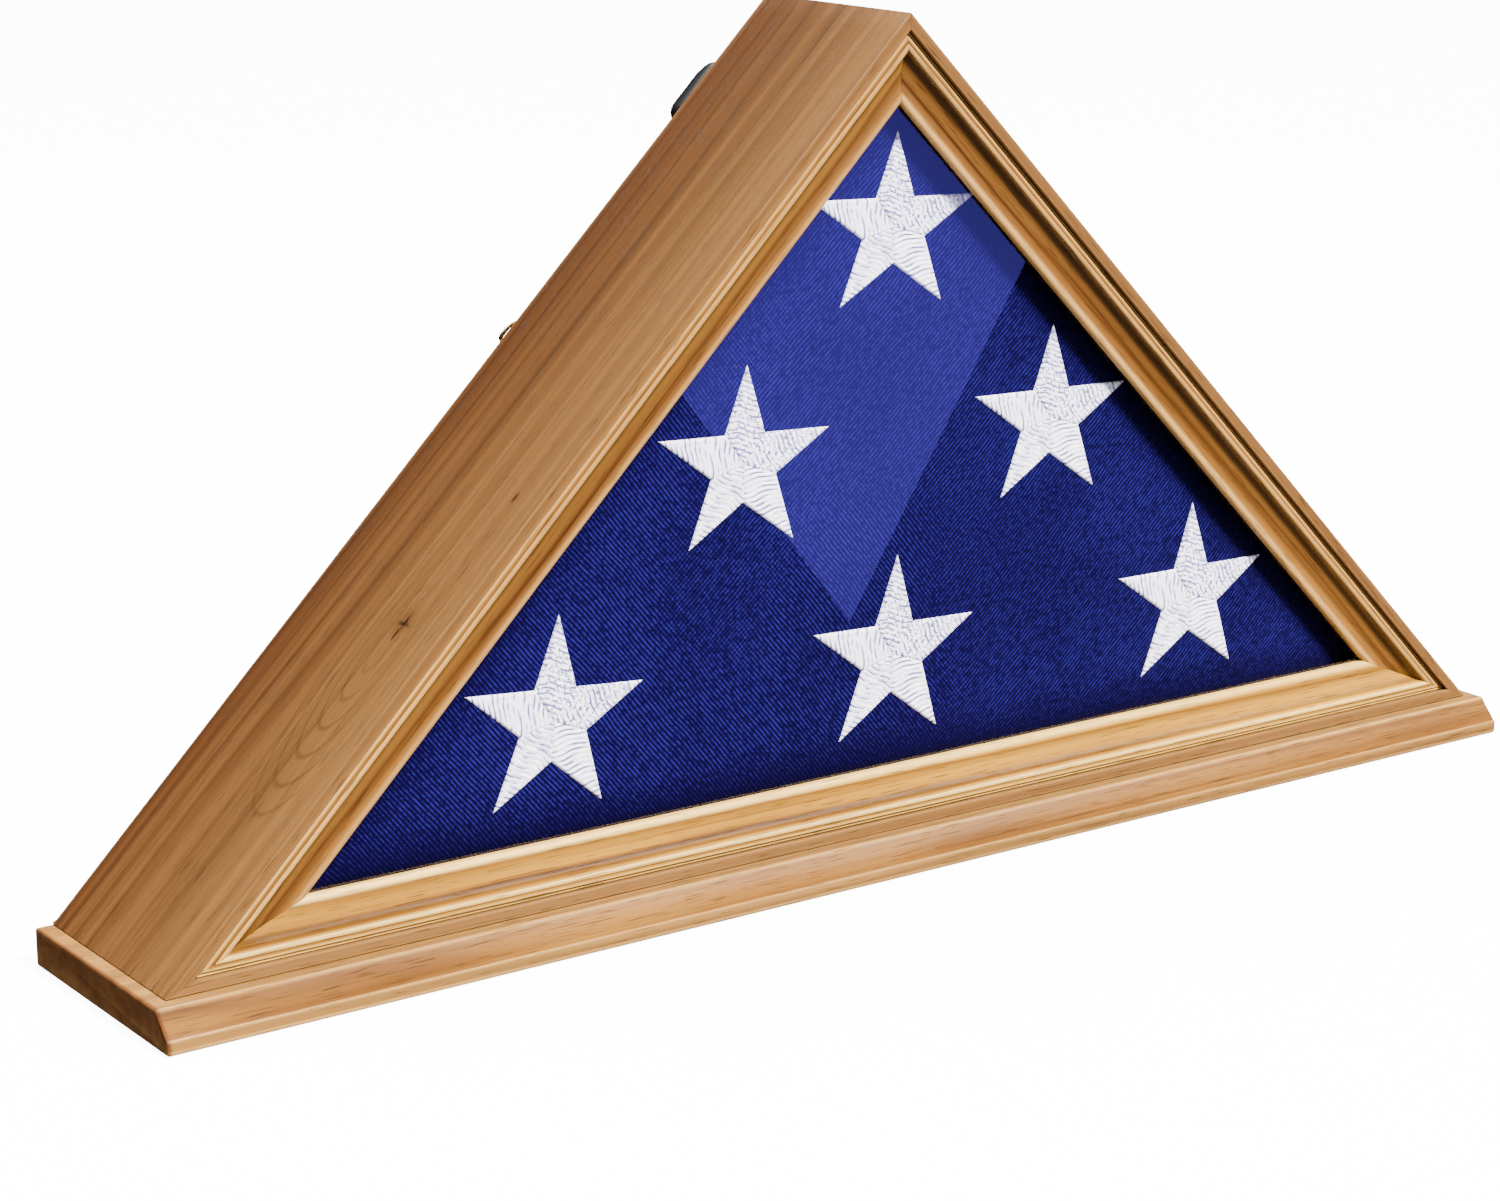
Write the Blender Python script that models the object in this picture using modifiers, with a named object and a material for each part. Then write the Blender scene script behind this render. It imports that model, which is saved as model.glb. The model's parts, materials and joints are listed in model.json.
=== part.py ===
"""Folded flag display case: a triangular shadow box on a moulded base.

World axes: X along the base, Y from the glass to the back, Z up. The origin is on the underside of the
base, under the apex, halfway between the case's front and rear faces. All lengths are in metres.
"""
import math

import bmesh
import bpy
from mathutils import Matrix, Vector

# Driving dimensions
GAP = 0.0003                 # running gap left between neighbouring pieces
CASE_WIDTH = 0.648           # outer width of the triangle where it meets the base
CASE_DEPTH = 0.095
BOARD_THICKNESS = 0.016
BASE_THICKNESS = 0.015
BASE_LENGTH = 0.661
BASE_TOP_REACH = 0.0054      # how far the base's top runs past the case's front face
BASE_REACH = 0.014           # how far the base's foot runs past it
BASE_FILLET_HEIGHT = 0.0056  # the upright band under the base's cove
BASE_COVE_HOLLOW = 1.35      # 1 is a straight bevel, more is a deeper cove
BASE_EDGE_ROUND = 0.0014
LIP_WIDTH = 0.0046           # the strip of each board that shows beside the moulding
MOULDING_WIDTH = 0.0246      # outer face of the case to the edge of the opening
GLASS_SETBACK = 0.0085       # front face of the case to the front of the glass
GLASS_THICKNESS = 0.002
GLASS_MARGIN = 0.0004        # glass edge to board
STOP_SIZE = 0.004            # square strips that hold the glass from behind
PANEL_THICKNESS = 0.003
PANEL_RECESS = 0.0005        # back of the panel to the rear face of the boards
REAR_RIM = 0.0114            # the board's rear edge left outside the panel's rebate
REAR_ROUND = 0.0025          # eased rear arris of the two slanted boards
FRONT_ROUND = 0.0004
FLAG_MARGIN = 0.001          # flag to board
FLAG_FRONT = 0.0023          # flag's front face ahead of the rear of the glass stops
FLAG_ROUND = 0.012
FLAG_REAR_ROOM = 0.0015
RIM_CENTRE = 0.006           # hardware on the rear rim sits this far in from the outer face

BISCUIT_LENGTH = 0.046
BISCUIT_HALF_WIDTH = 0.007
BISCUIT_THICKNESS = 0.0032
APEX_BISCUIT_INSET = 0.013   # along the mitre, in from the outer corner
FOOT_BISCUIT_INSET = 0.026

BUTTON_LENGTH = 0.030
BUTTON_WIDTH = 0.010
BUTTON_HEIGHT = 0.006
BUTTON_TIP_HEIGHT = 0.0028
BUTTON_TAPER = 0.009
BUTTON_EDGE_ROUND = 0.0005
BUTTON_PIVOT = 0.0055        # from the button's round end to its screw
BUTTON_END = 0.3955          # up the slope from the foot to the button's round end
LOWER_BUTTON_X = 0.150
COUNTERBORE_RADIUS = 0.0036
COUNTERBORE_DEPTH = 0.0024

HANGER_BAR = 0.281           # up the slope from the foot to the ring's bar
HANGER_SCREW = 0.2645
STRAP_END = 0.258
STRAP_WIDTH = 0.008
STRAP_THICKNESS = 0.001
KNUCKLE_LENGTH = 0.005
RING_WIRE = 0.0009           # wire radius
RING_HALF_WIDTH = 0.0046     # to the wire's middle
RING_STRAIGHT = 0.0055
RING_CORNER = 0.0012
KNUCKLE_WALL = 0.0009
KNUCKLE_LIFT = 0.00012       # the knuckle's underside above the strap's
KNUCKLE_RADIUS = RING_WIRE + GAP + KNUCKLE_WALL
BAR_HEIGHT = GAP + KNUCKLE_RADIUS + KNUCKLE_LIFT

SCREW_RADIUS = 0.0017
SCREW_HEAD_RADIUS = 0.0032
SCREW_HEAD_HEIGHT = 0.0019
SCREW_BITE = 0.010           # length of a small screw inside the board
SCREW_RECESS = 0.0036        # across the crossed recess in a small screw's head
RECESS_BAR = 0.0008          # width of each bar of the cross
RECESS_DEPTH = 0.001
BASE_SCREW_RADIUS = 0.0018
BASE_SCREW_HEAD_RADIUS = 0.0040
BASE_SCREW_RECESS = 0.0046
BASE_SCREW_RIM = 0.0004      # the upright edge of the countersunk head
BASE_SCREW_SINK = 0.0006     # head below the base's underside
BASE_SCREW_TOP = 0.0245
BASE_SCREW_X = (0.085, 0.215)

# Derived places
FRONT_Y = -CASE_DEPTH / 2
REAR_Y = CASE_DEPTH / 2
FOOT_Z = BASE_THICKNESS + GAP
GLASS_Y = FRONT_Y + GLASS_SETBACK
STOP_Y = GLASS_Y + GLASS_THICKNESS + GAP
PANEL_REAR_Y = REAR_Y - PANEL_RECESS
PANEL_FRONT_Y = PANEL_REAR_Y - PANEL_THICKNESS

LEFT_FOOT = Vector((-CASE_WIDTH / 2, 0, FOOT_Z))
RIGHT_FOOT = Vector((CASE_WIDTH / 2, 0, FOOT_Z))
APEX = Vector((0, 0, FOOT_Z + CASE_WIDTH / 2))
# Each side runs from one corner to the next, clockwise seen from the front.
SIDES = {"left": (LEFT_FOOT, APEX), "right": (APEX, RIGHT_FOOT), "bottom": (RIGHT_FOOT, LEFT_FOOT)}
DEPTH = Vector((0, 1, 0))


def clear_scene():
    for item in list(bpy.data.objects):
        bpy.data.objects.remove(item, do_unlink=True)


def new_collection(name):
    group = bpy.data.collections.new(name)
    bpy.context.scene.collection.children.link(group)
    return group


def material(name, colour, roughness, metallic=0.0, alpha=1.0):
    made = bpy.data.materials.new(name)
    made.use_nodes = True
    shader = made.node_tree.nodes["Principled BSDF"]
    shader.inputs["Base Color"].default_value = (*colour, 1.0)
    shader.inputs["Roughness"].default_value = roughness
    shader.inputs["Metallic"].default_value = metallic
    shader.inputs["Alpha"].default_value = alpha
    return made


def add_object(name, mesh, group, finish=None):
    item = bpy.data.objects.new(name, mesh)
    group.objects.link(item)
    if finish:
        mesh.materials.clear()
        mesh.materials.append(finish)
    return item


def frame_matrix(x_axis, y_axis, z_axis, origin):
    turned = Matrix((x_axis, y_axis, z_axis)).transposed().to_4x4()
    return Matrix.Translation(origin) @ turned


def weld(mesh):
    work = bmesh.new()
    work.from_mesh(mesh)
    bmesh.ops.remove_doubles(work, verts=work.verts, dist=1e-6)
    bmesh.ops.recalc_face_normals(work, faces=work.faces)
    work.to_mesh(mesh)
    work.free()


def curve_mesh(curve):
    """The closed mesh of a curve object's data."""
    holder = bpy.data.objects.new("holder", curve)
    bpy.context.scene.collection.objects.link(holder)
    bpy.context.view_layer.update()
    evaluated = holder.evaluated_get(bpy.context.evaluated_depsgraph_get())
    mesh = bpy.data.meshes.new_from_object(evaluated)
    bpy.data.objects.remove(holder, do_unlink=True)
    weld(mesh)
    return mesh


def outline_mesh(points, thickness):
    """A flat outline in the local XY plane, thickened evenly along local Z."""
    curve = bpy.data.curves.new("outline", "CURVE")
    curve.dimensions = "2D"
    curve.fill_mode = "BOTH"
    curve.extrude = thickness / 2
    spline = curve.splines.new("POLY")
    spline.points.add(len(points) - 1)
    for slot, (x, y) in zip(spline.points, points):
        slot.co = (x, y, 0, 1)
    spline.use_cyclic_u = True
    return curve_mesh(curve)


def arc(centre, radii, start, end, steps):
    """Points on an elliptical arc, with its angles in degrees."""
    angles = [math.radians(start + (end - start) * i / steps) for i in range(steps + 1)]
    return [(centre[0] + radii[0] * math.cos(a), centre[1] + radii[1] * math.sin(a)) for a in angles]


def stadium(length, half_width, steps=8):
    """A bar with round ends along local X, its middle at the origin."""
    reach = length / 2 - half_width
    return (arc((reach, 0), (half_width, half_width), -90, 90, steps)
            + arc((-reach, 0), (half_width, half_width), 90, 270, steps))


def side_axes(side):
    """The inward and along directions of one side of the triangle, and its corners."""
    start, end = SIDES[side]
    along = (end - start).normalized()
    return DEPTH.cross(along), along, start, end


def slope_point(side, up_slope, inset, y):
    """A point up_slope from the foot of a slanted side and inset from its outer face."""
    inward, along, start, end = side_axes(side)
    foot, up = (start, along) if side == "left" else (end, -along)
    return foot + up * up_slope + inward * inset + DEPTH * y


def corner_bisector(corner):
    """The unit vector from an outer corner along its mitre, towards the middle of the case."""
    inwards = [side_axes(side)[0] for side, ends in SIDES.items() if corner in ends]
    return sum(inwards, Vector()).normalized()


def mitred_strip(section, side):
    """A section of (inset, y) points run along a side and cut on both mitres."""
    inward, along, start, end = side_axes(side)
    length = (end - start).length
    middle = (start + end) / 2
    mesh = outline_mesh(section, length + 4 * MOULDING_WIDTH)
    mesh.transform(frame_matrix(inward, DEPTH, along, middle))
    work = bmesh.new()
    work.from_mesh(mesh)
    for corner in (start, end):
        normal = corner_bisector(corner).cross(DEPTH)
        if normal.dot(corner - middle) < 0:
            normal = -normal
        trimmed = bmesh.ops.bisect_plane(
            work, geom=work.verts[:] + work.edges[:] + work.faces[:], dist=1e-7,
            plane_co=corner - normal * GAP / 2, plane_no=normal, clear_outer=True)
        rim = [part for part in trimmed["geom_cut"] if isinstance(part, bmesh.types.BMEdge)]
        bmesh.ops.edgeloop_fill(work, edges=rim)
    bmesh.ops.recalc_face_normals(work, faces=work.faces)
    work.to_mesh(mesh)
    work.free()
    return mesh


def triangle(inset):
    """The case's outer triangle drawn in by inset, as (x, z) points."""
    foot = CASE_WIDTH / 2 - inset / math.tan(math.radians(22.5))
    return [(-foot, FOOT_Z + inset), (foot, FOOT_Z + inset), (0, APEX.z - inset * math.sqrt(2))]


def triangle_plate(inset, front_y, rear_y):
    mesh = outline_mesh(triangle(inset), rear_y - front_y)
    mesh.transform(frame_matrix(Vector((1, 0, 0)), Vector((0, 0, 1)), Vector((0, -1, 0)),
                                DEPTH * (front_y + rear_y) / 2))
    return mesh


def turned(name, profile, steps=24):
    """A (radius, height) profile, from the top down its outside, spun round Z into a solid."""
    mesh = bpy.data.meshes.new(name)
    work = bmesh.new()
    corners = [work.verts.new((radius, 0, height)) for radius, height in profile]
    for first, second in zip(corners, corners[1:]):
        work.edges.new((first, second))
    bmesh.ops.spin(work, geom=work.verts[:] + work.edges[:], cent=(0, 0, 0), axis=(0, 0, 1),
                   angle=2 * math.pi, steps=steps, use_merge=True)
    bmesh.ops.remove_doubles(work, verts=work.verts, dist=1e-6)
    bmesh.ops.recalc_face_normals(work, faces=work.faces)
    work.to_mesh(mesh)
    work.free()
    return mesh


def smooth(item):
    item.data.shade_smooth()
    item.data.set_sharp_from_angle(angle=math.radians(35))


def bevel(item, width, segments, angle=35):
    rounding = item.modifiers.new("rounded_edges", "BEVEL")
    rounding.width = width
    rounding.segments = segments
    rounding.limit_method = "ANGLE"
    rounding.angle_limit = math.radians(angle)
    return rounding


def cut(item, cutter):
    difference = item.modifiers.new("cut", "BOOLEAN")
    difference.operation = "DIFFERENCE"
    difference.object = cutter


def make_cutter(name, mesh):
    cutter = add_object(name, mesh, cutters)
    cutter.hide_render = True
    cutter.display_type = "WIRE"
    return cutter


def board_section(rear_round):
    """Board section: outer face, rear arris, rear rim, panel rebate, inner face, front rebate, lip."""
    rear_arc = arc((rear_round, REAR_Y - rear_round), (rear_round, rear_round), 180, 90, 4)
    rebate_y = PANEL_FRONT_Y - GAP
    return ([(0, FRONT_Y + FRONT_ROUND)] + (rear_arc if rear_round else [(0, REAR_Y)])
            + [(REAR_RIM, REAR_Y), (REAR_RIM, rebate_y), (BOARD_THICKNESS, rebate_y),
               (BOARD_THICKNESS, GLASS_Y), (LIP_WIDTH, GLASS_Y), (LIP_WIDTH, FRONT_Y + FRONT_ROUND),
               (LIP_WIDTH - FRONT_ROUND, FRONT_Y), (FRONT_ROUND, FRONT_Y)])


def moulding_section():
    """Moulding section from its outer edge in: groove, shoulder, bead, quirk, cove, rounded lip."""
    outer = LIP_WIDTH + GAP
    back = GLASS_Y - GAP
    groove_depth, shoulder_depth, crest_depth = 0.0026, 0.0017, 0.0011
    cove_start, cove_low, lip_crest = 0.0106, 0.0182, 0.0226
    cove_drop, lip_depth = 0.0056, 0.0050
    shoulder = [(outer, groove_depth), (outer + 0.0008, groove_depth), (0.0066, shoulder_depth)]
    bead = arc((0.0092, shoulder_depth), (0.0010, shoulder_depth - crest_depth), 180, 360, 8)
    quirk = [(cove_start - 0.0001, shoulder_depth + 0.0004)]
    fall = arc((cove_low, shoulder_depth), (cove_low - cove_start, cove_drop - shoulder_depth),
               176, 90, 10)
    rise = [(cove_low + (lip_crest - cove_low) * i / 5,
             cove_drop - (cove_drop - lip_depth) * (1 - math.cos(math.pi * i / 5)) / 2)
            for i in range(1, 6)]
    over = arc((lip_crest, lip_depth + 0.0014), (MOULDING_WIDTH - lip_crest, 0.0014), 270, 360, 5)
    face = shoulder + bead + quirk + fall + rise + over[1:]
    return ([(inset, FRONT_Y + depth) for inset, depth in face]
            + [(MOULDING_WIDTH, back), (outer, back)])


def cross_recess(head_top, spread):
    """The two crossed bars cut into a screw head, as one mesh about Z."""
    mesh = bpy.data.meshes.new("cross_recess")
    work = bmesh.new()
    bmesh.ops.create_cube(work, size=1, matrix=Matrix.Diagonal((spread, RECESS_BAR, 2 * RECESS_DEPTH, 1)))
    work.to_mesh(mesh)
    work.free()
    mesh.transform(Matrix.Translation((0, 0, head_top)))
    return mesh


def screw(name, profile, head_top, spread, place, finish):
    """A turned screw with a crossed recess in its head, which points along the place's local +Z."""
    item = add_object(name, turned(name, profile), case, finish)
    item.matrix_world = place
    for count, turn in enumerate((0, 90)):
        bar = make_cutter(f"{name}_recess_{count}", cross_recess(head_top, spread))
        bar.matrix_world = place @ Matrix.Rotation(math.radians(turn), 4, "Z")
        cut(item, bar)
    smooth(item)
    return item


def pan_head_profile(seat, length):
    """A pan-head screw: head above seat, shank down from it, with a short point."""
    dome = [(SCREW_HEAD_RADIUS * math.sin(a), seat + SCREW_HEAD_HEIGHT * math.cos(a))
            for a in [math.radians(90 * i / 5) for i in range(6)]]
    return dome + [(SCREW_RADIUS, seat), (SCREW_RADIUS, seat - length + SCREW_RADIUS),
                   (0, seat - length)]


def pilot_hole(name, place, radius, low, high):
    mesh = turned(name, [(0, high), (radius, high), (radius, low), (0, low)])
    cutter = make_cutter(name, mesh)
    cutter.matrix_world = place
    return cutter


def make_boards(wood):
    boards = {}
    for side in SIDES:
        rear_round = 0 if side == "bottom" else REAR_ROUND
        name = "bottom_board" if side == "bottom" else f"{side}_side_board"
        boards[side] = add_object(name, mitred_strip(board_section(rear_round), side), case, wood)
    return boards


def make_front_mouldings(wood):
    for side in SIDES:
        item = add_object(f"front_moulding_{side}", mitred_strip(moulding_section(), side), case, wood)
        smooth(item)


def make_biscuits(wood, boards):
    corners = {"apex": (APEX, APEX_BISCUIT_INSET, ("left", "right")),
               "left_foot": (LEFT_FOOT, FOOT_BISCUIT_INSET, ("left", "bottom")),
               "right_foot": (RIGHT_FOOT, FOOT_BISCUIT_INSET, ("right", "bottom"))}
    for where, (corner, inset, joined) in corners.items():
        mitre = corner_bisector(corner)
        place = frame_matrix(DEPTH, mitre.cross(DEPTH), mitre, corner + mitre * inset)
        biscuit = add_object(f"{where}_biscuit",
                             outline_mesh(stadium(BISCUIT_LENGTH, BISCUIT_HALF_WIDTH),
                                          BISCUIT_THICKNESS), case, wood)
        biscuit.matrix_world = place
        slot = make_cutter(f"{where}_slot",
                           outline_mesh(stadium(BISCUIT_LENGTH + 2 * GAP, BISCUIT_HALF_WIDTH + GAP),
                                        BISCUIT_THICKNESS + 2 * GAP))
        slot.matrix_world = place
        for side in joined:
            cut(boards[side], slot)


def make_base(wood):
    """The base board: square ends, a coved front edge above an upright band."""
    top_front = FRONT_Y - BASE_TOP_REACH
    foot_front = FRONT_Y - BASE_REACH
    reach, drop = BASE_REACH - BASE_TOP_REACH, BASE_THICKNESS - BASE_FILLET_HEIGHT
    steps = [i / 6 for i in range(7)]
    cove = [(top_front - reach * out, BASE_THICKNESS - drop * (1 - (1 - out) ** BASE_COVE_HOLLOW))
            for out in steps]
    section = [(REAR_Y, 0), (REAR_Y, BASE_THICKNESS)] + cove + [(foot_front, 0)]
    mesh = outline_mesh(section, BASE_LENGTH)
    mesh.transform(frame_matrix(DEPTH, Vector((0, 0, 1)), Vector((1, 0, 0)), Vector()))
    base = add_object("base_board", mesh, case, wood)
    bevel(base, BASE_EDGE_ROUND, 3, angle=50)
    return base


def make_glass(glass):
    inset = BOARD_THICKNESS + GLASS_MARGIN
    add_object("glass_pane", triangle_plate(inset, GLASS_Y, GLASS_Y + GLASS_THICKNESS), case, glass)


def make_glass_stops(wood):
    outer = BOARD_THICKNESS + GAP
    inner = outer + STOP_SIZE
    section = [(outer, STOP_Y), (outer, STOP_Y + STOP_SIZE), (inner, STOP_Y + STOP_SIZE), (inner, STOP_Y)]
    for side in SIDES:
        add_object(f"glass_stop_{side}", mitred_strip(section, side), case, wood)


def make_flag(cloth):
    front = STOP_Y + STOP_SIZE - FLAG_FRONT
    rear = PANEL_FRONT_Y - FLAG_REAR_ROOM
    flag = add_object("folded_flag", triangle_plate(BOARD_THICKNESS + FLAG_MARGIN, front, rear), case, cloth)
    bevel(flag, FLAG_ROUND, 3)


def make_back_panel(board):
    mesh = triangle_plate(REAR_RIM + GAP, PANEL_FRONT_Y, PANEL_REAR_Y)
    return add_object("back_panel", mesh, case, board)


def button_mesh():
    """A turn button along +X with its pivot at the origin and its underside at Z = GAP."""
    mesh = outline_mesh(stadium(BUTTON_LENGTH, BUTTON_WIDTH / 2), BUTTON_HEIGHT)
    mesh.transform(Matrix.Translation((BUTTON_LENGTH / 2 - BUTTON_PIVOT, 0, GAP + BUTTON_HEIGHT / 2)))
    tip = BUTTON_LENGTH - BUTTON_PIVOT
    drop = BUTTON_HEIGHT - BUTTON_TIP_HEIGHT
    work = bmesh.new()
    work.from_mesh(mesh)
    cut_off = bmesh.ops.bisect_plane(
        work, geom=work.verts[:] + work.edges[:] + work.faces[:], dist=1e-7, clear_outer=True,
        plane_co=(tip - BUTTON_TAPER, 0, GAP + BUTTON_HEIGHT), plane_no=(drop, 0, BUTTON_TAPER))
    rim = [part for part in cut_off["geom_cut"] if isinstance(part, bmesh.types.BMEdge)]
    bmesh.ops.edgeloop_fill(work, edges=rim)
    bmesh.ops.dissolve_limit(work, angle_limit=math.radians(1), verts=work.verts, edges=work.edges)
    bmesh.ops.recalc_face_normals(work, faces=work.faces)
    work.to_mesh(mesh)
    work.free()
    return mesh


def make_turn_button(name, pivot, pointing, plastic, steel, board):
    """A turn button and its screw, pointing along a direction in the rear face."""
    place = frame_matrix(pointing, DEPTH.cross(pointing), DEPTH, pivot)
    button = add_object(name, button_mesh(), case, plastic)
    button.matrix_world = place
    bevel(button, BUTTON_EDGE_ROUND, 2)
    floor = GAP + BUTTON_HEIGHT - COUNTERBORE_DEPTH
    seat = floor + GAP
    bore = SCREW_RADIUS + GAP
    mesh = turned(f"{name}_bore", [(0, 0.01), (COUNTERBORE_RADIUS, 0.01), (COUNTERBORE_RADIUS, floor),
                                   (bore, floor), (bore, -0.002), (0, -0.002)])
    cutter = make_cutter(f"{name}_bore", mesh)
    cutter.matrix_world = place
    cut(button, cutter)
    smooth(button)
    length = seat + SCREW_BITE
    screw(f"{name}_screw", pan_head_profile(seat, length), seat + SCREW_HEAD_HEIGHT, SCREW_RECESS,
          place, steel)
    cut(board, pilot_hole(f"{name}_pilot", place, bore, seat - length - GAP, 0.002))


def make_turn_buttons(plastic, steel, boards):
    for side in ("left", "right"):
        inward, along, _, _ = side_axes(side)
        up = along if side == "left" else -along
        pivot = slope_point(side, BUTTON_END + BUTTON_PIVOT, RIM_CENTRE, REAR_Y)
        make_turn_button(f"turn_button_upper_{side}", pivot, up, plastic, steel, boards[side])
        outward = -1 if side == "left" else 1
        pivot = Vector((outward * LOWER_BUTTON_X, REAR_Y, FOOT_Z + RIM_CENTRE))
        make_turn_button(f"turn_button_lower_{side}", pivot, Vector((outward, 0, 0)), plastic, steel,
                         boards["bottom"])


def strap_mesh():
    """A hanger strap along +X: a flat tongue that ends in the tube round the ring's bar at X = 0."""
    half = STRAP_WIDTH / 2
    round_end = arc((STRAP_END - HANGER_BAR + half, 0), (half, half), 90, 270, 8)
    mesh = outline_mesh([(0, -half), (0, half)] + round_end, STRAP_THICKNESS)
    mesh.transform(Matrix.Translation((0, 0, GAP + STRAP_THICKNESS / 2)))
    return mesh


def make_ring_mesh():
    """The D-shaped ring in the local XY plane: bar along Y at X = 0, bow towards +X."""
    curve = bpy.data.curves.new("ring", "CURVE")
    curve.dimensions = "3D"
    curve.fill_mode = "FULL"
    curve.bevel_depth = RING_WIRE
    curve.bevel_resolution = 2
    corner = RING_CORNER
    low = arc((corner, -RING_HALF_WIDTH + corner), (corner, corner), 180, 270, 3)
    bow = arc((RING_STRAIGHT, 0), (RING_HALF_WIDTH, RING_HALF_WIDTH), -90, 90, 12)
    high = arc((corner, RING_HALF_WIDTH - corner), (corner, corner), 90, 180, 3)
    points = low + bow + high
    spline = curve.splines.new("POLY")
    spline.points.add(len(points) - 1)
    for slot, (x, y) in zip(spline.points, points):
        slot.co = (x, y, 0, 1)
    spline.use_cyclic_u = True
    return curve_mesh(curve)


def make_hanger(side, brass, steel, board):
    inward, along, _, _ = side_axes(side)
    up = along if side == "left" else -along
    bar = slope_point(side, HANGER_BAR, RIM_CENTRE, REAR_Y)
    place = frame_matrix(up, DEPTH.cross(up), DEPTH, bar)
    strap = add_object(f"hanger_strap_{side}", strap_mesh(), case, brass)
    strap.matrix_world = place
    around_bar = Matrix.Translation((0, 0, BAR_HEIGHT)) @ Matrix.Rotation(math.pi / 2, 4, "X")
    half = KNUCKLE_LENGTH / 2
    tube = [(0, half), (KNUCKLE_RADIUS, half), (KNUCKLE_RADIUS, -half), (0, -half)]
    barrel = make_cutter(f"hanger_knuckle_{side}", turned("knuckle", tube))
    barrel.matrix_world = place @ around_bar
    joined = strap.modifiers.new("knuckle", "BOOLEAN")
    joined.operation = "UNION"
    joined.object = barrel
    bore = RING_WIRE + GAP
    reach = STRAP_WIDTH
    room = turned("bar_room", [(0, reach), (bore, reach), (bore, -reach), (0, -reach)])
    passage = make_cutter(f"hanger_bore_{side}", room)
    passage.matrix_world = place @ around_bar
    cut(strap, passage)

    seat = GAP + STRAP_THICKNESS + GAP
    screw_place = place @ Matrix.Translation((HANGER_SCREW - HANGER_BAR, 0, 0))
    length = seat + SCREW_BITE
    screw(f"hanger_screw_{side}", pan_head_profile(seat, length), seat + SCREW_HEAD_HEIGHT, SCREW_RECESS,
          screw_place, steel)
    pilot = pilot_hole(f"hanger_pilot_{side}", screw_place, SCREW_RADIUS + GAP, seat - length - GAP, 0.003)
    cut(strap, pilot)
    cut(board, pilot)
    smooth(strap)

    ring = add_object(f"hanger_ring_{side}", make_ring_mesh(), case, brass)
    ring.matrix_world = frame_matrix(up, DEPTH.cross(up), DEPTH, bar + DEPTH * BAR_HEIGHT)
    smooth(ring)


def make_base_screws(steel, base, bottom_board):
    """Countersunk screws up through the base into the bottom board."""
    sink, head, shank = BASE_SCREW_SINK, BASE_SCREW_HEAD_RADIUS, BASE_SCREW_RADIUS
    rim_end = sink + BASE_SCREW_RIM
    cone_end = rim_end + head - shank
    profile = [(0, sink), (head, sink), (head, rim_end), (shank, cone_end),
               (shank, BASE_SCREW_TOP - shank), (0, BASE_SCREW_TOP)]
    room = [(0, -0.001), (head + GAP, -0.001), (head + GAP, rim_end + GAP),
            (shank + GAP, cone_end + 2 * GAP), (shank + GAP, BASE_SCREW_TOP + GAP),
            (0, BASE_SCREW_TOP + GAP)]
    flip = Matrix.Rotation(math.pi, 4, "X")
    for side in (-1, 1):
        for count, reach in enumerate(BASE_SCREW_X):
            name = f"base_screw_{'left' if side < 0 else 'right'}_{count + 1}"
            place = Matrix.Translation((side * reach, 0, 0)) @ flip
            downward = [(radius, -height) for radius, height in profile]
            screw(name, downward, -sink, BASE_SCREW_RECESS, place, steel)
            clearance = make_cutter(f"{name}_hole", turned(name, [(r, -z) for r, z in room]))
            clearance.matrix_world = place
            cut(base, clearance)
            cut(bottom_board, clearance)


clear_scene()
case = new_collection("flag_display_case")
cutters = new_collection("cutters")

oiled_wood = material("oiled_hardwood", (0.56, 0.33, 0.15), 0.42)
pale_wood = material("beech", (0.62, 0.42, 0.24), 0.6)
clear_glass = material("clear_glass", (0.9, 0.95, 0.95), 0.03, alpha=0.3)
flag_cloth = material("navy_cloth", (0.02, 0.03, 0.16), 0.85)
black_board = material("black_hardboard", (0.03, 0.03, 0.03), 0.8)
black_plastic = material("black_plastic", (0.02, 0.02, 0.02), 0.45)
brass_plate = material("brassed_steel", (0.75, 0.55, 0.25), 0.3, metallic=1.0)
zinc_steel = material("zinc_steel", (0.6, 0.6, 0.62), 0.35, metallic=1.0)

case_boards = make_boards(oiled_wood)
make_front_mouldings(oiled_wood)
base_board = make_base(oiled_wood)
make_biscuits(pale_wood, case_boards)
make_glass(clear_glass)
make_glass_stops(oiled_wood)
make_flag(flag_cloth)
make_back_panel(black_board)
make_turn_buttons(black_plastic, zinc_steel, case_boards)
for hanger_side in ("left", "right"):
    make_hanger(hanger_side, brass_plate, zinc_steel, case_boards[hanger_side])
make_base_screws(zinc_steel, base_board, case_boards["bottom"])
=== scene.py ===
import json
import math

import bmesh
import bpy
import numpy as np
from mathutils import Matrix, Vector


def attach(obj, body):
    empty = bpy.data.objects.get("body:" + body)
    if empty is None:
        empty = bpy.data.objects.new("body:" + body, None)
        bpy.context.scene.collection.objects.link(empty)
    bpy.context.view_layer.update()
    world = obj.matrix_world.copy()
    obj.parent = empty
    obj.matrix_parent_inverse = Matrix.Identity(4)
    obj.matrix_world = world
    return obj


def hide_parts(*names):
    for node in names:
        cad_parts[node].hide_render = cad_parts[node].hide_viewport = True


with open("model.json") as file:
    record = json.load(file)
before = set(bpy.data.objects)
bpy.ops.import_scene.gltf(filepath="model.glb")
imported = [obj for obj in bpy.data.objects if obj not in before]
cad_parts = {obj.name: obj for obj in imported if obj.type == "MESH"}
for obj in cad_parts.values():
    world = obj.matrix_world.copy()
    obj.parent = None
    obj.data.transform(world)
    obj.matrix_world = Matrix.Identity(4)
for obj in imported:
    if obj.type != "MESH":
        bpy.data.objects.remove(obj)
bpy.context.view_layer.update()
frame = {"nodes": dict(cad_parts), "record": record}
bodyOf = {node: body for body, nodes in frame["record"]["behaviour"]["bodies"].items() for node in nodes}
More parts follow.
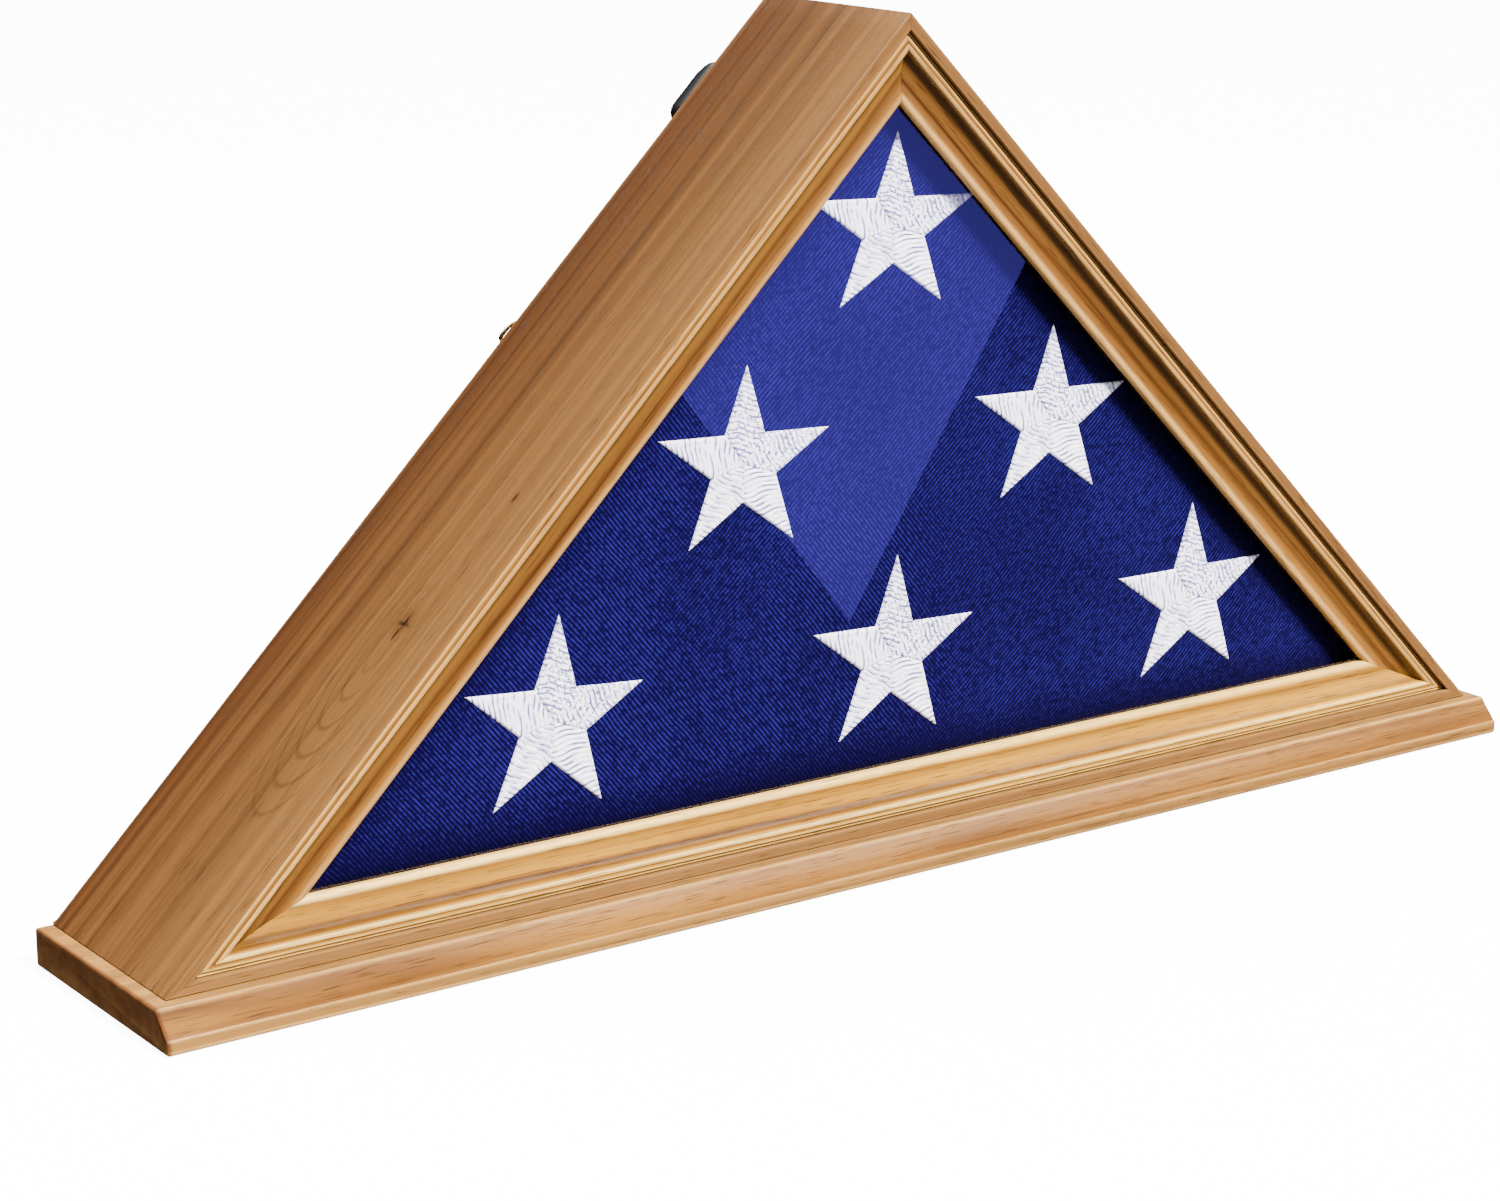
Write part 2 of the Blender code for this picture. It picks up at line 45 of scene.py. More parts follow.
print("stage: frame loaded,", len(frame["nodes"]), "nodes")

# what all meshes share: lengths in metres, angles in degrees
meshing = {
    "mergeWithin": 1e-6,
    "sharpAngle": 35.0,
    "flatWithin": 0.5,
    "copySharpAngle": 40.0,
    "copyEdgeSegments": 2,
    "cornerSteps": 5,
    "support": 0.0006,      # how far outside a rounded corner the supporting point lies
    "endEasingSteps": 3,
    "endStation": 0.01,     # where the even stations of a strip begin, from its end
}


def placeInScene(name, data):
    made = bpy.data.objects.new(name, data)
    bpy.context.scene.collection.objects.link(made)
    return made


def nodePoints(node):
    mesh = frame["nodes"][node].data
    flat = np.empty(len(mesh.vertices) * 3, np.float32)
    mesh.vertices.foreach_get("co", flat)
    return flat.reshape(-1, 3).astype(float)


boardPoints = nodePoints("left_side_board")
bottomPoints = nodePoints("bottom_board")
panelPoints = nodePoints("back_panel")
basePoints = nodePoints("base_board")
glassPoints = nodePoints("glass_pane")
flagPoints = nodePoints("folded_flag")

# the case's outer triangle: a 45 degree roof on the line where the bottom board meets the base
case = {
    "front": boardPoints[:, 1].min(),
    "rear": boardPoints[:, 1].max(),
    "foot": bottomPoints[:, 2].min(),
    "apex": (boardPoints[:, 2] - boardPoints[:, 0]).max(),
    "board": np.ptp(bottomPoints[:, 2]),
    "gap": 0.0003,
    "mitreGap": 0.00002,
    "stations": 40,
}
case["halfWidth"] = case["apex"] - case["foot"]
corners = {
    "left": np.array([-case["halfWidth"], 0.0, case["foot"]]),
    "apex": np.array([0.0, 0.0, case["apex"]]),
    "right": np.array([case["halfWidth"], 0.0, case["foot"]]),
}
sideEnds = {"left": ("left", "apex"), "right": ("apex", "right"), "bottom": ("right", "left")}
halfAngle = {"left": math.radians(22.5), "apex": math.radians(45), "right": math.radians(22.5)}


def addNode(tree, kind, inputs=None, **settings):
    made = tree.nodes.new(kind)
    for name, value in settings.items():
        setattr(made, name, value)
    for key, value in (inputs or {}).items():
        if isinstance(value, bpy.types.NodeSocket):
            tree.links.new(value, made.inputs[key])
        else:
            made.inputs[key].default_value = value
    return made


def work(tree, operation, first, second=0.0, third=0.0):
    inputs = {0: first, 1: second, 2: third}
    return addNode(tree, "ShaderNodeMath", inputs, operation=operation).outputs[0]


def vectorWork(tree, operation, first, second=(0, 0, 0), output="Vector"):
    return addNode(tree, "ShaderNodeVectorMath", {0: first, 1: second}, operation=operation).outputs[output]


def dot(tree, first, second):
    return vectorWork(tree, "DOT_PRODUCT", first, second, "Value")


def smoothBetween(tree, value, low, high, fromLow=0.0, fromHigh=1.0):
    inputs = {"Value": value, "From Min": low, "From Max": high, "To Min": fromLow, "To Max": fromHigh}
    return addNode(tree, "ShaderNodeMapRange", inputs, interpolation_type="SMOOTHSTEP").outputs[0]


def colourRamp(tree, factor, stops):
    made = addNode(tree, "ShaderNodeValToRGB", {0: factor})
    ramp = made.color_ramp
    while len(ramp.elements) < len(stops):
        ramp.elements.new(1.0)
    for element, (place, colour) in zip(ramp.elements, stops):
        element.position = place
        element.color = (*colour, 1.0) if isinstance(colour, tuple) else (colour, colour, colour, 1.0)
    return made.outputs[0]


def blendColour(tree, factor, first, second):
    made = addNode(tree, "ShaderNodeMix", {0: factor}, data_type="RGBA")
    for key, value in ((6, first), (7, second)):
        if isinstance(value, bpy.types.NodeSocket):
            tree.links.new(value, made.inputs[key])
        else:
            made.inputs[key].default_value = (*value, 1.0)
    return made.outputs[2]


def noise(tree, place, stretch, detail=2.0, roughness=0.5, output="Fac"):
    scaled = vectorWork(tree, "MULTIPLY", place, stretch)
    inputs = {"Vector": scaled, "Scale": 1.0, "Detail": detail, "Roughness": roughness}
    return addNode(tree, "ShaderNodeTexNoise", inputs).outputs[output]


def newMaterial(name, **sockets):
    made = bpy.data.materials.new(name)
    made.use_nodes = True
    shader = made.node_tree.nodes["Principled BSDF"]
    for socket, value in sockets.items():
        shader.inputs[socket.replace("_", " ")].default_value = value
    return made, made.node_tree, shader


def objectPlace(tree, turn=(0, 0, 0), shift=(0, 0, 0)):
    place = addNode(tree, "ShaderNodeTexCoord").outputs["Object"]
    inputs = {"Vector": place, "Rotation": turn, "Location": shift}
    return addNode(tree, "ShaderNodeMapping", inputs).outputs[0]


def paint(tree, shader, colour, roughness=None):
    tree.links.new(colour, shader.inputs["Base Color"])
    if roughness:
        tree.links.new(roughness, shader.inputs["Roughness"])


def bump(tree, shader, height, distance, strength=1.0):
    made = addNode(tree, "ShaderNodeBump", {"Height": height, "Distance": distance, "Strength": strength})
    tree.links.new(made.outputs[0], shader.inputs["Normal"])


# Wood is read as a solid: local X runs along the grain, and the growth rings are cylinders about a pith
# that lies outside the board. The distance to the pith, bent by slow noise, is counted in rings.
# the side boards' colours are darkened as painted shade, for their faces turned away from the light
shadedBoardLooks = {
    "pale": (0.100, 0.0405, 0.0108),
    "middle": (0.054, 0.0186, 0.0050),
    "dark": (0.0165, 0.0050, 0.0014),
    # the darkest colour below serves the vessels, the knots and the painted shade in the hollows; the worn
    # colour after it lightens the crests, worn finish with a painted highlight
    "poreAndShade": (0.0080, 0.0025, 0.0007),
    "worn": (0.22, 0.104, 0.028),
    "end": (0.056, 0.0135, 0.0058),
    "ringPitch": 0.0065,
    "ringWander": 0.010,
    "ringShare": 0.42,
    "ringStops": ((0.0, 0.42), (0.10, 0.12), (0.45, 0.10), (0.80, 0.42), (0.92, 0.95), (1.0, 0.42)),
    "baseTone": -0.03,
    "fibreShare": 0.20,
    "flamePitch": 0.17,
    "roughness": 0.36,
    "roughnessSpread": 0.16,
    "reliefDepth": 0.00012,
    # how tightly each noise is packed along and across the grain
    "sway": (3.5, 11, 11),
    "fibre": (6, 1000, 1000),
    "streak": (1.3, 150, 150),
    "line": (1.0, 430, 430),
    "patch": (3.5, 14, 14),
    "vessel": (70, 2300, 2300),
    "knotEdge": (260, 420, 420),
}
# the front pieces get paler, more golden colours than the side boards, whose darker colours are painted
# shade for faces turned away from the light
frontLooks = {
    **shadedBoardLooks, "pale": (0.215, 0.092, 0.0135), "middle": (0.112, 0.0425, 0.0070),
    "dark": (0.036, 0.0110, 0.0019), "worn": (0.50, 0.27, 0.075)}
# the bottom rail: the same stock painted much lighter, a painted highlight for its face turned up to the
# light
litRailLooks = {
    **frontLooks, "pale": (0.43, 0.200, 0.0160), "middle": (0.225, 0.090, 0.0080),
    "dark": (0.070, 0.0225, 0.0024), "worn": (0.82, 0.56, 0.17)}


def woodMaterial(name, turn, tilt=0.0, pith=(0.0, -0.06), shift=(0, 0, 0), flames=(), knots=(),
                 tone=0.0, halfLength=0.0, looks=shadedBoardLooks):
    made, tree, shader = newMaterial(name, Coat_Weight=0.12, Coat_Roughness=0.13, Specular_IOR_Level=0.3)
    board = objectPlace(tree, (0, turn, tilt))
    grain = vectorWork(tree, "ADD", board, shift)
    sway = noise(tree, grain, looks["sway"], 2.0, 0.5, "Color")
    sway = vectorWork(tree, "SUBTRACT", sway, (0.5, 0.5, 0.5))
    wander = looks["ringWander"]
    bent = vectorWork(tree, "ADD", board, vectorWork(tree, "MULTIPLY", sway, (0, wander, wander)))
    fromPith = vectorWork(tree, "MULTIPLY", vectorWork(tree, "SUBTRACT", bent, (0, *pith)), (0, 1, 1))
    rings = work(tree, "DIVIDE", vectorWork(tree, "LENGTH", fromPith, output="Value"), looks["ringPitch"])
    ringShade = colourRamp(tree, work(tree, "FRACT", rings), looks["ringStops"])
    fibre = noise(tree, grain, looks["fibre"], 3.0, 0.6)
    streak = noise(tree, grain, looks["streak"], 3.0, 0.55)
    line = noise(tree, grain, looks["line"], 2.0, 0.5)
    patch = noise(tree, grain, looks["patch"], 3.0, 0.5)
    shade = work(tree, "MULTIPLY_ADD", ringShade, looks["ringShare"], tone + looks["baseTone"])
    shade = work(tree, "MULTIPLY_ADD", fibre, looks["fibreShare"], shade)
    for cloud, low, high in ((streak, 0.34, 0.68), (line, 0.56, 0.72), (patch, 0.32, 0.70)):
        picked = smoothBetween(tree, cloud, low, high)
        shade = work(tree, "MULTIPLY_ADD", picked, looks["fibreShare"], shade)
    colour = colourRamp(tree, shade, (
        (0.10, looks["pale"]), (0.48, looks["middle"]), (0.95, looks["dark"])))
    # a flame is a nest of long closed rings, clearest round its lower end
    for centre, reach, strength in flames:
        away = vectorWork(tree, "DIVIDE", vectorWork(tree, "SUBTRACT", bent, centre), reach)
        ring = vectorWork(tree, "LENGTH", away, output="Value")
        beside = work(tree, "PINGPONG", work(tree, "DIVIDE", ring, looks["flamePitch"]), 0.5)
        lines = work(tree, "MULTIPLY", smoothBetween(tree, beside, 0.16, 0.02),
                     smoothBetween(tree, ring, 1.06, 1.0))
        lower = dot(tree, away, (1, 0, 0))
        drawn = work(tree, "MULTIPLY", lines, smoothBetween(tree, lower, 0.7, -0.8, 0.15, strength))
        colour = blendColour(tree, drawn, colour, looks["dark"])
    # the crests are painted lighter, worn finish and painted highlight together, and the hollows painted
    # darker, gathered finish and painted shade together; the end grain is darker where the finish gathers
    wear = addNode(tree, "ShaderNodeAttribute", attribute_name="wear").outputs["Fac"]
    colour = blendColour(tree, smoothBetween(tree, wear, -0.06, -0.80, 0.0, 0.85), colour, looks["poreAndShade"])
    rubbedAndHighlit = work(tree, "MULTIPLY", smoothBetween(tree, wear, 0.12, 0.85, 0.0, 0.75),
                  smoothBetween(tree, streak, 0.62, 0.30, 0.55, 1.0))
    colour = blendColour(tree, rubbedAndHighlit, colour, looks["worn"])
    if halfLength:
        lengthwise = work(tree, "ABSOLUTE", dot(tree, board, (1, 0, 0)))
        endGrain = smoothBetween(tree, lengthwise, halfLength - 0.0018, halfLength - 0.0004, 0.0, 0.7)
        colour = blendColour(tree, endGrain, colour, looks["end"])
    # vessels: short dark dashes a few times longer than the fibres are wide
    dash = noise(tree, grain, looks["vessel"], 1.0, 0.4)
    pores = smoothBetween(tree, dash, 0.62, 0.72)
    colour = blendColour(tree, work(tree, "MULTIPLY", pores, 0.55), colour, looks["poreAndShade"])
    for centre, reach, strength in knots:
        away = vectorWork(tree, "DIVIDE", vectorWork(tree, "SUBTRACT", bent, centre), reach)
        ragged = work(tree, "MULTIPLY_ADD", noise(tree, grain, looks["knotEdge"], 2.0), 0.9,
                      vectorWork(tree, "LENGTH", away, output="Value"))
        spot = smoothBetween(tree, ragged, 0.55, 1.45, strength, 0.0)
        colour = blendColour(tree, spot, colour, looks["poreAndShade"])
    polish = work(tree, "MULTIPLY_ADD", fibre, looks["roughnessSpread"],
                  looks["roughness"] - looks["roughnessSpread"] / 2)
    paint(tree, shader, colour, work(tree, "MULTIPLY_ADD", pores, 0.15, polish))
    relief = work(tree, "MULTIPLY_ADD", pores, -0.8, work(tree, "MULTIPLY", fibre, 0.35))
    bump(tree, shader, relief, looks["reliefDepth"], 0.8)
    return made


quarter = math.radians(45)
faceHeight = case["apex"] / math.sqrt(2)     # the slanted boards' outer faces in their own turned frame
woods = {
    "left": woodMaterial(
        "oak_left", quarter, 0.012, (-0.012, faceHeight - 0.045), (0.31, 0.1, 0.2),
        flames=(((-0.068, -0.0205, faceHeight), (0.076, 0.023, 0.09), 0.9),),
        knots=(((-0.0575, -0.0228, faceHeight), (0.0062, 0.0011, 0.006), 1.0),
               ((-0.0585, -0.0225, faceHeight), (0.0016, 0.0050, 0.006), 0.8),
               ((-0.0635, -0.0222, faceHeight), (0.0044, 0.0009, 0.006), 0.9),
               ((-0.0580, -0.0225, faceHeight), (0.0120, 0.0075, 0.012), 0.35),
               ((0.0023, -0.0309, faceHeight), (0.0040, 0.0014, 0.006), 0.8)), tone=0.06),
    "right": woodMaterial("oak_right", -quarter, -0.015, (0.02, faceHeight - 0.05), (0.7, 0.4, 0.9)),
    "bottom": woodMaterial("oak_bottom", 0.0, 0.01, (0.0, -0.05), (0.2, 0.8, 0.5)),
    "base": woodMaterial("oak_base", 0.0, -0.006, (0.02, -0.07), (0.9, 0.3, 0.1), tone=0.02,
                         halfLength=basePoints[:, 0].max(), looks=frontLooks),
    "moulding_left": woodMaterial("oak_moulding_left", quarter, 0.004, (0.05, faceHeight - 0.10),
                                  (0.55, 0.2, 0.7), tone=0.08, looks=frontLooks),
    "moulding_right": woodMaterial("oak_moulding_right", -quarter, -0.004, (0.05, faceHeight - 0.09),
                                   (0.15, 0.9, 0.3), tone=0.08, looks=frontLooks),
    # the bottom moulding's lighter tone and rail colours are a painted highlight
    "moulding_bottom": woodMaterial("oak_moulding_bottom", 0.0, 0.003, (0.04, -0.08),
                                    (0.45, 0.6, 0.8), tone=-0.06, looks=litRailLooks),
}
print("stage: woods made")


def gridFaces(rows, columns, closedColumns=False):
    # quads between neighbouring rows and columns of a grid of points numbered row by row
    row = np.arange(rows - 1)[:, None]
    column = np.arange(columns if closedColumns else columns - 1)[None, :]
    nextRow, nextColumn = row + 1, (column + 1) % columns
    quads = np.stack(np.broadcast_arrays(row * columns + column, row * columns + nextColumn,
                                         nextRow * columns + nextColumn, nextRow * columns + column), -1)
    return quads.reshape(-1, 4)


def meshObject(name, points, faces, finish, sharpAngle=meshing["sharpAngle"], **marks):
    # marks are values per point that the materials read as attributes
    mesh = bpy.data.meshes.new(name)
    mesh.from_pydata(points, [], faces)
    for mark, values in marks.items():
        layer = mesh.attributes.new(mark, "FLOAT", "POINT")
        layer.data.foreach_set("value", values.astype(np.float32).ravel())
    cleaned = bmesh.new()
    cleaned.from_mesh(mesh)
    bmesh.ops.remove_doubles(cleaned, verts=cleaned.verts, dist=meshing["mergeWithin"])
    bmesh.ops.recalc_face_normals(cleaned, faces=cleaned.faces)
    cleaned.to_mesh(mesh)
    cleaned.free()
    mesh.shade_smooth()
    mesh.set_sharp_from_angle(angle=math.radians(sharpAngle))
    if finish:
        mesh.materials.append(finish)
    return placeInScene(name, mesh)


def arcPoints(centre, radii, start, end, steps):
    # an elliptical arc as (x, y) points, angles in degrees
    angles = np.radians(np.linspace(start, end, steps + 1))
    return np.stack([centre[0] + radii[0] * np.cos(angles), centre[1] + radii[1] * np.sin(angles)], -1)


def softened(corners2d, steps=meshing["cornerSteps"]):
    # each corner (x, y, radius) becomes a quadratic curve between its tangent points, with one more point
    # just outside each tangent, so that smooth shading stays flat on the long sides
    loop = np.array([corner[:2] for corner in corners2d], float)
    blend = np.linspace(0, 1, steps + 1)[:, None]
    support = meshing["support"]
    points = []
    for i, (x, y, radius) in enumerate(corners2d):
        here, before, after = loop[i], loop[i - 1], loop[(i + 1) % len(loop)]
        if not radius:
            points.append(here)
            continue
        back, ahead = before - here, after - here
        backLength, aheadLength = np.linalg.norm(back), np.linalg.norm(ahead)
        back, ahead = back / backLength, ahead / aheadLength
        reach = min(radius, 0.42 * backLength, 0.42 * aheadLength)
        first, last = here + back * reach, here + ahead * reach
        curve = (1 - blend) ** 2 * first + 2 * blend * (1 - blend) * here + blend ** 2 * last
        points += [here + back * min(reach + support, 0.48 * backLength)]
        points += list(curve)
        points += [here + ahead * min(reach + support, 0.48 * aheadLength)]
    return np.array(points)


def loopNormals(loop):
    # outward unit normals of a closed loop of (x, y) points
    tangent = np.roll(loop, -1, 0) - np.roll(loop, 1, 0)
    tangent /= np.maximum(np.linalg.norm(tangent, axis=1, keepdims=True), 1e-12)
    x, y = loop[:, 0], loop[:, 1]
    turning = np.sign(np.sum(x * np.roll(y, -1) - np.roll(x, -1) * y))
    return np.stack([tangent[:, 1], -tangent[:, 0]], -1) * turning


# this measure paints the crests lighter and the hollows darker, as painted highlight and painted shade
def wearAlong(section):
    # how far each point of the loop stands out from (+) or lies in (-) the chord between the points a short
    # way either side of it, as a share of that way, summed at a fine and a coarse reach
    closed = np.concatenate([section, section[:1]])
    walked = np.concatenate([[0], np.cumsum(np.linalg.norm(np.diff(closed, axis=0), axis=1))])
    total = np.zeros(len(section))
    for reach in (0.0008, 0.0028):
        ends = []
        for step in (-reach, reach):
            place = (walked[:-1] + step) % walked[-1]
            ends.append(np.stack([np.interp(place, walked, closed[:, i]) for i in (0, 1)], -1))
        total += 1.6 * ((section - (ends[0] + ends[1]) / 2) * loopNormals(section)).sum(1) / reach
    return np.clip(total, -1, 1)


def easedSections(section, length, easing, steps, stations):
    # the section at even stations along a strip, drawn in along a quarter circle at both ends
    angle = np.linspace(math.pi / 2, 0, steps + 1)
    near, drawn = easing * (1 - np.sin(angle)), easing * (1 - np.cos(angle))
    middle = np.linspace(meshing["endStation"], length - meshing["endStation"], stations)
    distance = np.concatenate([near, middle, length - near[::-1]])
    drawnIn = np.concatenate([drawn, np.zeros(stations), drawn[::-1]])
    return distance, section[None] - loopNormals(section)[None] * drawnIn[:, None, None]


def capped(points):
    # the grid's quads and one flat face at each end
    rows, columns = points.shape[:2]
    faces = gridFaces(rows, columns, closedColumns=True).tolist()
    ends = [list(range(columns)), list(range((rows - 1) * columns, rows * columns))]
    return points.reshape(-1, 3), faces + ends


def stripObject(name, points, section, finish):
    wear = np.broadcast_to(wearAlong(section), points.shape[:2])
    return meshObject(name, *capped(points), finish, wear=wear)


def mitredStrip(name, section, side, finish, easing):
    # the closed section of (inset, depth) points is run from one mitre plane to the other: point = corner +
    # inset times inward + along times inset over the tangent of half the corner's angle
    start, end = (corners[corner] for corner in sideEnds[side])
    along = (end - start) / np.linalg.norm(end - start)
    inward = np.cross((0, 1, 0), along)
    length = np.linalg.norm(end - start)
    distance, shapes = easedSections(section, length, easing, meshing["endEasingSteps"], case["stations"])
    share = (distance / length)[:, None]
    startSlope, endSlope = (1 / math.tan(halfAngle[corner]) for corner in sideEnds[side])
    startGap, endGap = (case["mitreGap"] / 2 / math.sin(halfAngle[corner]) for corner in sideEnds[side])
    first = shapes[..., 0] * startSlope + startGap
    last = length - shapes[..., 0] * endSlope - endGap
    travel = first * (1 - share) + last * share
    points = (start + shapes[..., 0:1] * inward + travel[..., None] * along
              + shapes[..., 1:2] * np.array([0.0, 1.0, 0.0]))
    return stripObject(name, points, section, finish)


def finishPiece(piece, body, slot, *replaced):
    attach(piece, body)
    if replaced:
        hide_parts(*replaced)
    return piece


boardShape = {
    "frontArris": 0.0004,
    "rearArris": 0.0028,
    "rearRim": 0.0114,
    "lip": 0.0046,
    "sawn": 0.0002,
    "mitreEdge": 0.0002,
}
panelFront = panelPoints[:, 1].min() - case["gap"]
glassFront = glassPoints[:, 1].min()


def boardSection(rearArris):
    shape, thick = boardShape, case["board"]
    front, sawn = shape["frontArris"], shape["sawn"]
    return softened([
        (0, case["front"], front), (0, case["rear"], rearArris), (shape["rearRim"], case["rear"], front),
        (shape["rearRim"], panelFront, sawn), (thick, panelFront, sawn), (thick, glassFront, sawn),
        (shape["lip"], glassFront, sawn), (shape["lip"], case["front"], front)])


for side in sideEnds:
    node = "bottom_board" if side == "bottom" else f"{side}_side_board"
    rearArris = boardShape["sawn"] if side == "bottom" else boardShape["rearArris"]
    board = mitredStrip(f"{node}_wood", boardSection(rearArris), side, woods[side],
                        boardShape["mitreEdge"])
    finishPiece(board, "case", "oiled_hardwood", node)

mouldingShape = {
    "width": 0.0246,
    "groove": 0.0026,
    "shoulder": 0.0017,
    "shoulderStart": 0.0066,
    "bead": 0.0092,
    "beadRadius": 0.0010,
    "crest": 0.0011,
    "coveStart": 0.0106,
    "coveLow": 0.0182,
    "coveDrop": 0.0056,
    "lipCrest": 0.0226,
    "lipDepth": 0.0050,
    "lipRound": 0.0014,
    "quirkDrop": 0.0004,
    "mitreEdge": 0.0003,
}


def mouldingSection(shape):
    # from the outer edge in: groove, shoulder, half-round bead, quirk, a cove that falls on a quarter
    # ellipse and climbs on half a cosine wave, and the lip's quarter ellipse
    outer = boardShape["lip"] + case["gap"]
    shoulder = [(outer, shape["groove"]), (outer + 0.0007, shape["groove"]),
                (outer + 0.0009, shape["groove"] - 0.0001),
                (shape["shoulderStart"] - 0.0002, shape["shoulder"] + 0.0001),
                (shape["shoulderStart"] + 0.0002, shape["shoulder"])]
    bead = arcPoints((shape["bead"], shape["shoulder"]),
                     (shape["beadRadius"], shape["shoulder"] - shape["crest"]), 180, 360, 16)
    quirk = [(shape["coveStart"] - 0.0001, shape["shoulder"] + shape["quirkDrop"])]
    coveFall = (shape["coveLow"] - shape["coveStart"], shape["coveDrop"] - shape["shoulder"])
    fall = arcPoints((shape["coveLow"], shape["shoulder"]), coveFall, 176, 90, 24)
    climb = np.linspace(0, 1, 13)[1:]
    rise = np.stack([shape["coveLow"] + (shape["lipCrest"] - shape["coveLow"]) * climb,
                     shape["coveDrop"] - (shape["coveDrop"] - shape["lipDepth"])
                     * (1 - np.cos(math.pi * climb)) / 2], -1)
    over = arcPoints((shape["lipCrest"], shape["lipDepth"] + shape["lipRound"]),
                     (shape["width"] - shape["lipCrest"], shape["lipRound"]), 270, 360, 10)
    face = np.concatenate([shoulder, bead, quirk, fall, rise, over[1:]])
    back = glassFront - case["gap"] - case["front"]
    rear = [(shape["width"], back), (outer, back)]
    return np.concatenate([face, rear]) + np.array([0.0, case["front"]])


for side in sideEnds:
    node = f"front_moulding_{side}"
    strip = mitredStrip(f"{node}_wood", mouldingSection(mouldingShape), side, woods[f"moulding_{side}"],
                        mouldingShape["mitreEdge"])
    finishPiece(strip, "case", "oiled_hardwood", node)

baseShape = {
    "edge": 0.0016,
    "endEdge": 0.0011,
    "fillet": 0.0056,
    "hollow": 1.35,
    "topReach": 0.0054,
    "coveSteps": 18,
    "edgeSteps": 6,
    "stations": 48,
    "holeGap": 0.0003,
    "holeStart": 0.002,
    "holeSides": 40,
}


def baseBoard(shape):
    # the section of (depth, height) points runs along X, and draws in on a quarter circle at both ends
    low, high = basePoints.min(0), basePoints.max(0)
    topFront = case["front"] - shape["topReach"]
    reach, drop = topFront - low[1], high[2] - shape["fillet"]
    out = np.linspace(0, 1, shape["coveSteps"])[1:-1]
    cove = np.stack([topFront - reach * out, high[2] - drop * (1 - (1 - out) ** shape["hollow"])], -1)
    edge = shape["edge"]
    corners2d = ([(high[1], 0, edge), (high[1], high[2], edge), (topFront, high[2], edge)]
                 + [(x, y, 0.0) for x, y in cove] + [(low[1], shape["fillet"], edge), (low[1], 0, edge)])
    section = softened(corners2d, shape["edgeSteps"])
    distance, shapes = easedSections(section, high[0] - low[0], shape["endEdge"], shape["edgeSteps"],
                                     shape["stations"])
    along = np.broadcast_to((low[0] + distance)[:, None, None], shapes.shape[:2] + (1,))
    return stripObject("base_board_wood", np.concatenate([along, shapes], -1), section, woods["base"])


def screwHole(node, shape):
    # a turned cutter about Z: at each level of the screw its widest radius from there up, and a little more
    points = nodePoints(node)
    middle = (points.min(0) + points.max(0)) / 2
    radii = np.linalg.norm(points[:, :2] - middle[:2], axis=1)
    levels = np.unique(np.round(points[:, 2], 5))
    sameLevel = 1e-5
    widest = np.array([radii[np.abs(points[:, 2] - level) < sameLevel].max() for level in levels])
    widest = np.maximum.accumulate(widest[::-1])[::-1] + shape["holeGap"]
    levels, widest = np.append(-shape["holeStart"], levels), np.append(widest[0], widest)
    angle = np.linspace(0, 2 * math.pi, shape["holeSides"] + 1)[:-1]
    rings = [middle[0] + widest[:, None] * np.cos(angle), middle[1] + widest[:, None] * np.sin(angle),
             np.broadcast_to(levels[:, None], (len(levels), len(angle)))]
    return capped(np.stack(rings, -1))


def drillBase(base, shape):
    # the countersunk holes that show the screw heads from below
    for side in ("left", "right"):
        for count in (1, 2):
            cutter = meshObject("hole_cutter", *screwHole(f"base_screw_{side}_{count}", shape), None)
            hole = base.modifiers.new("screwHole", "BOOLEAN")
            hole.operation, hole.solver, hole.object = "DIFFERENCE", "EXACT", cutter
            graph = bpy.context.evaluated_depsgraph_get()
            drilled = bpy.data.meshes.new_from_object(base.evaluated_get(graph), depsgraph=graph)
            base.modifiers.clear()
            base.data = drilled
            bpy.data.objects.remove(cutter)
    base.data.set_sharp_from_angle(angle=math.radians(meshing["sharpAngle"]))
    base.modifiers.new("evenShading", "WEIGHTED_NORMAL").keep_sharp = True
    return base


finishPiece(drillBase(baseBoard(baseShape), baseShape), "case", "oiled_hardwood", "base_board")
print("stage: boards, mouldings and base made")


clothLooks = {
    "deep": (0.0009, 0.0002, 0.0080),
    "royal": (0.0028, 0.0007, 0.0230),
    # the thread colour is a painted highlight on the rib crests, and the deep colour painted shade in the
    # rib valleys
    "thread": (0.0100, 0.0064, 0.0920),
    "ribPitch": 0.0016,
    "rimShade": 0.028,
    "ribTurns": (math.radians(50), math.radians(-42)),
    "wobble": 0.0035,
    "glint": (520, 520, 520),
    "grit": (1900, 1900, 1900),
    "reliefDepth": 0.00016,
}


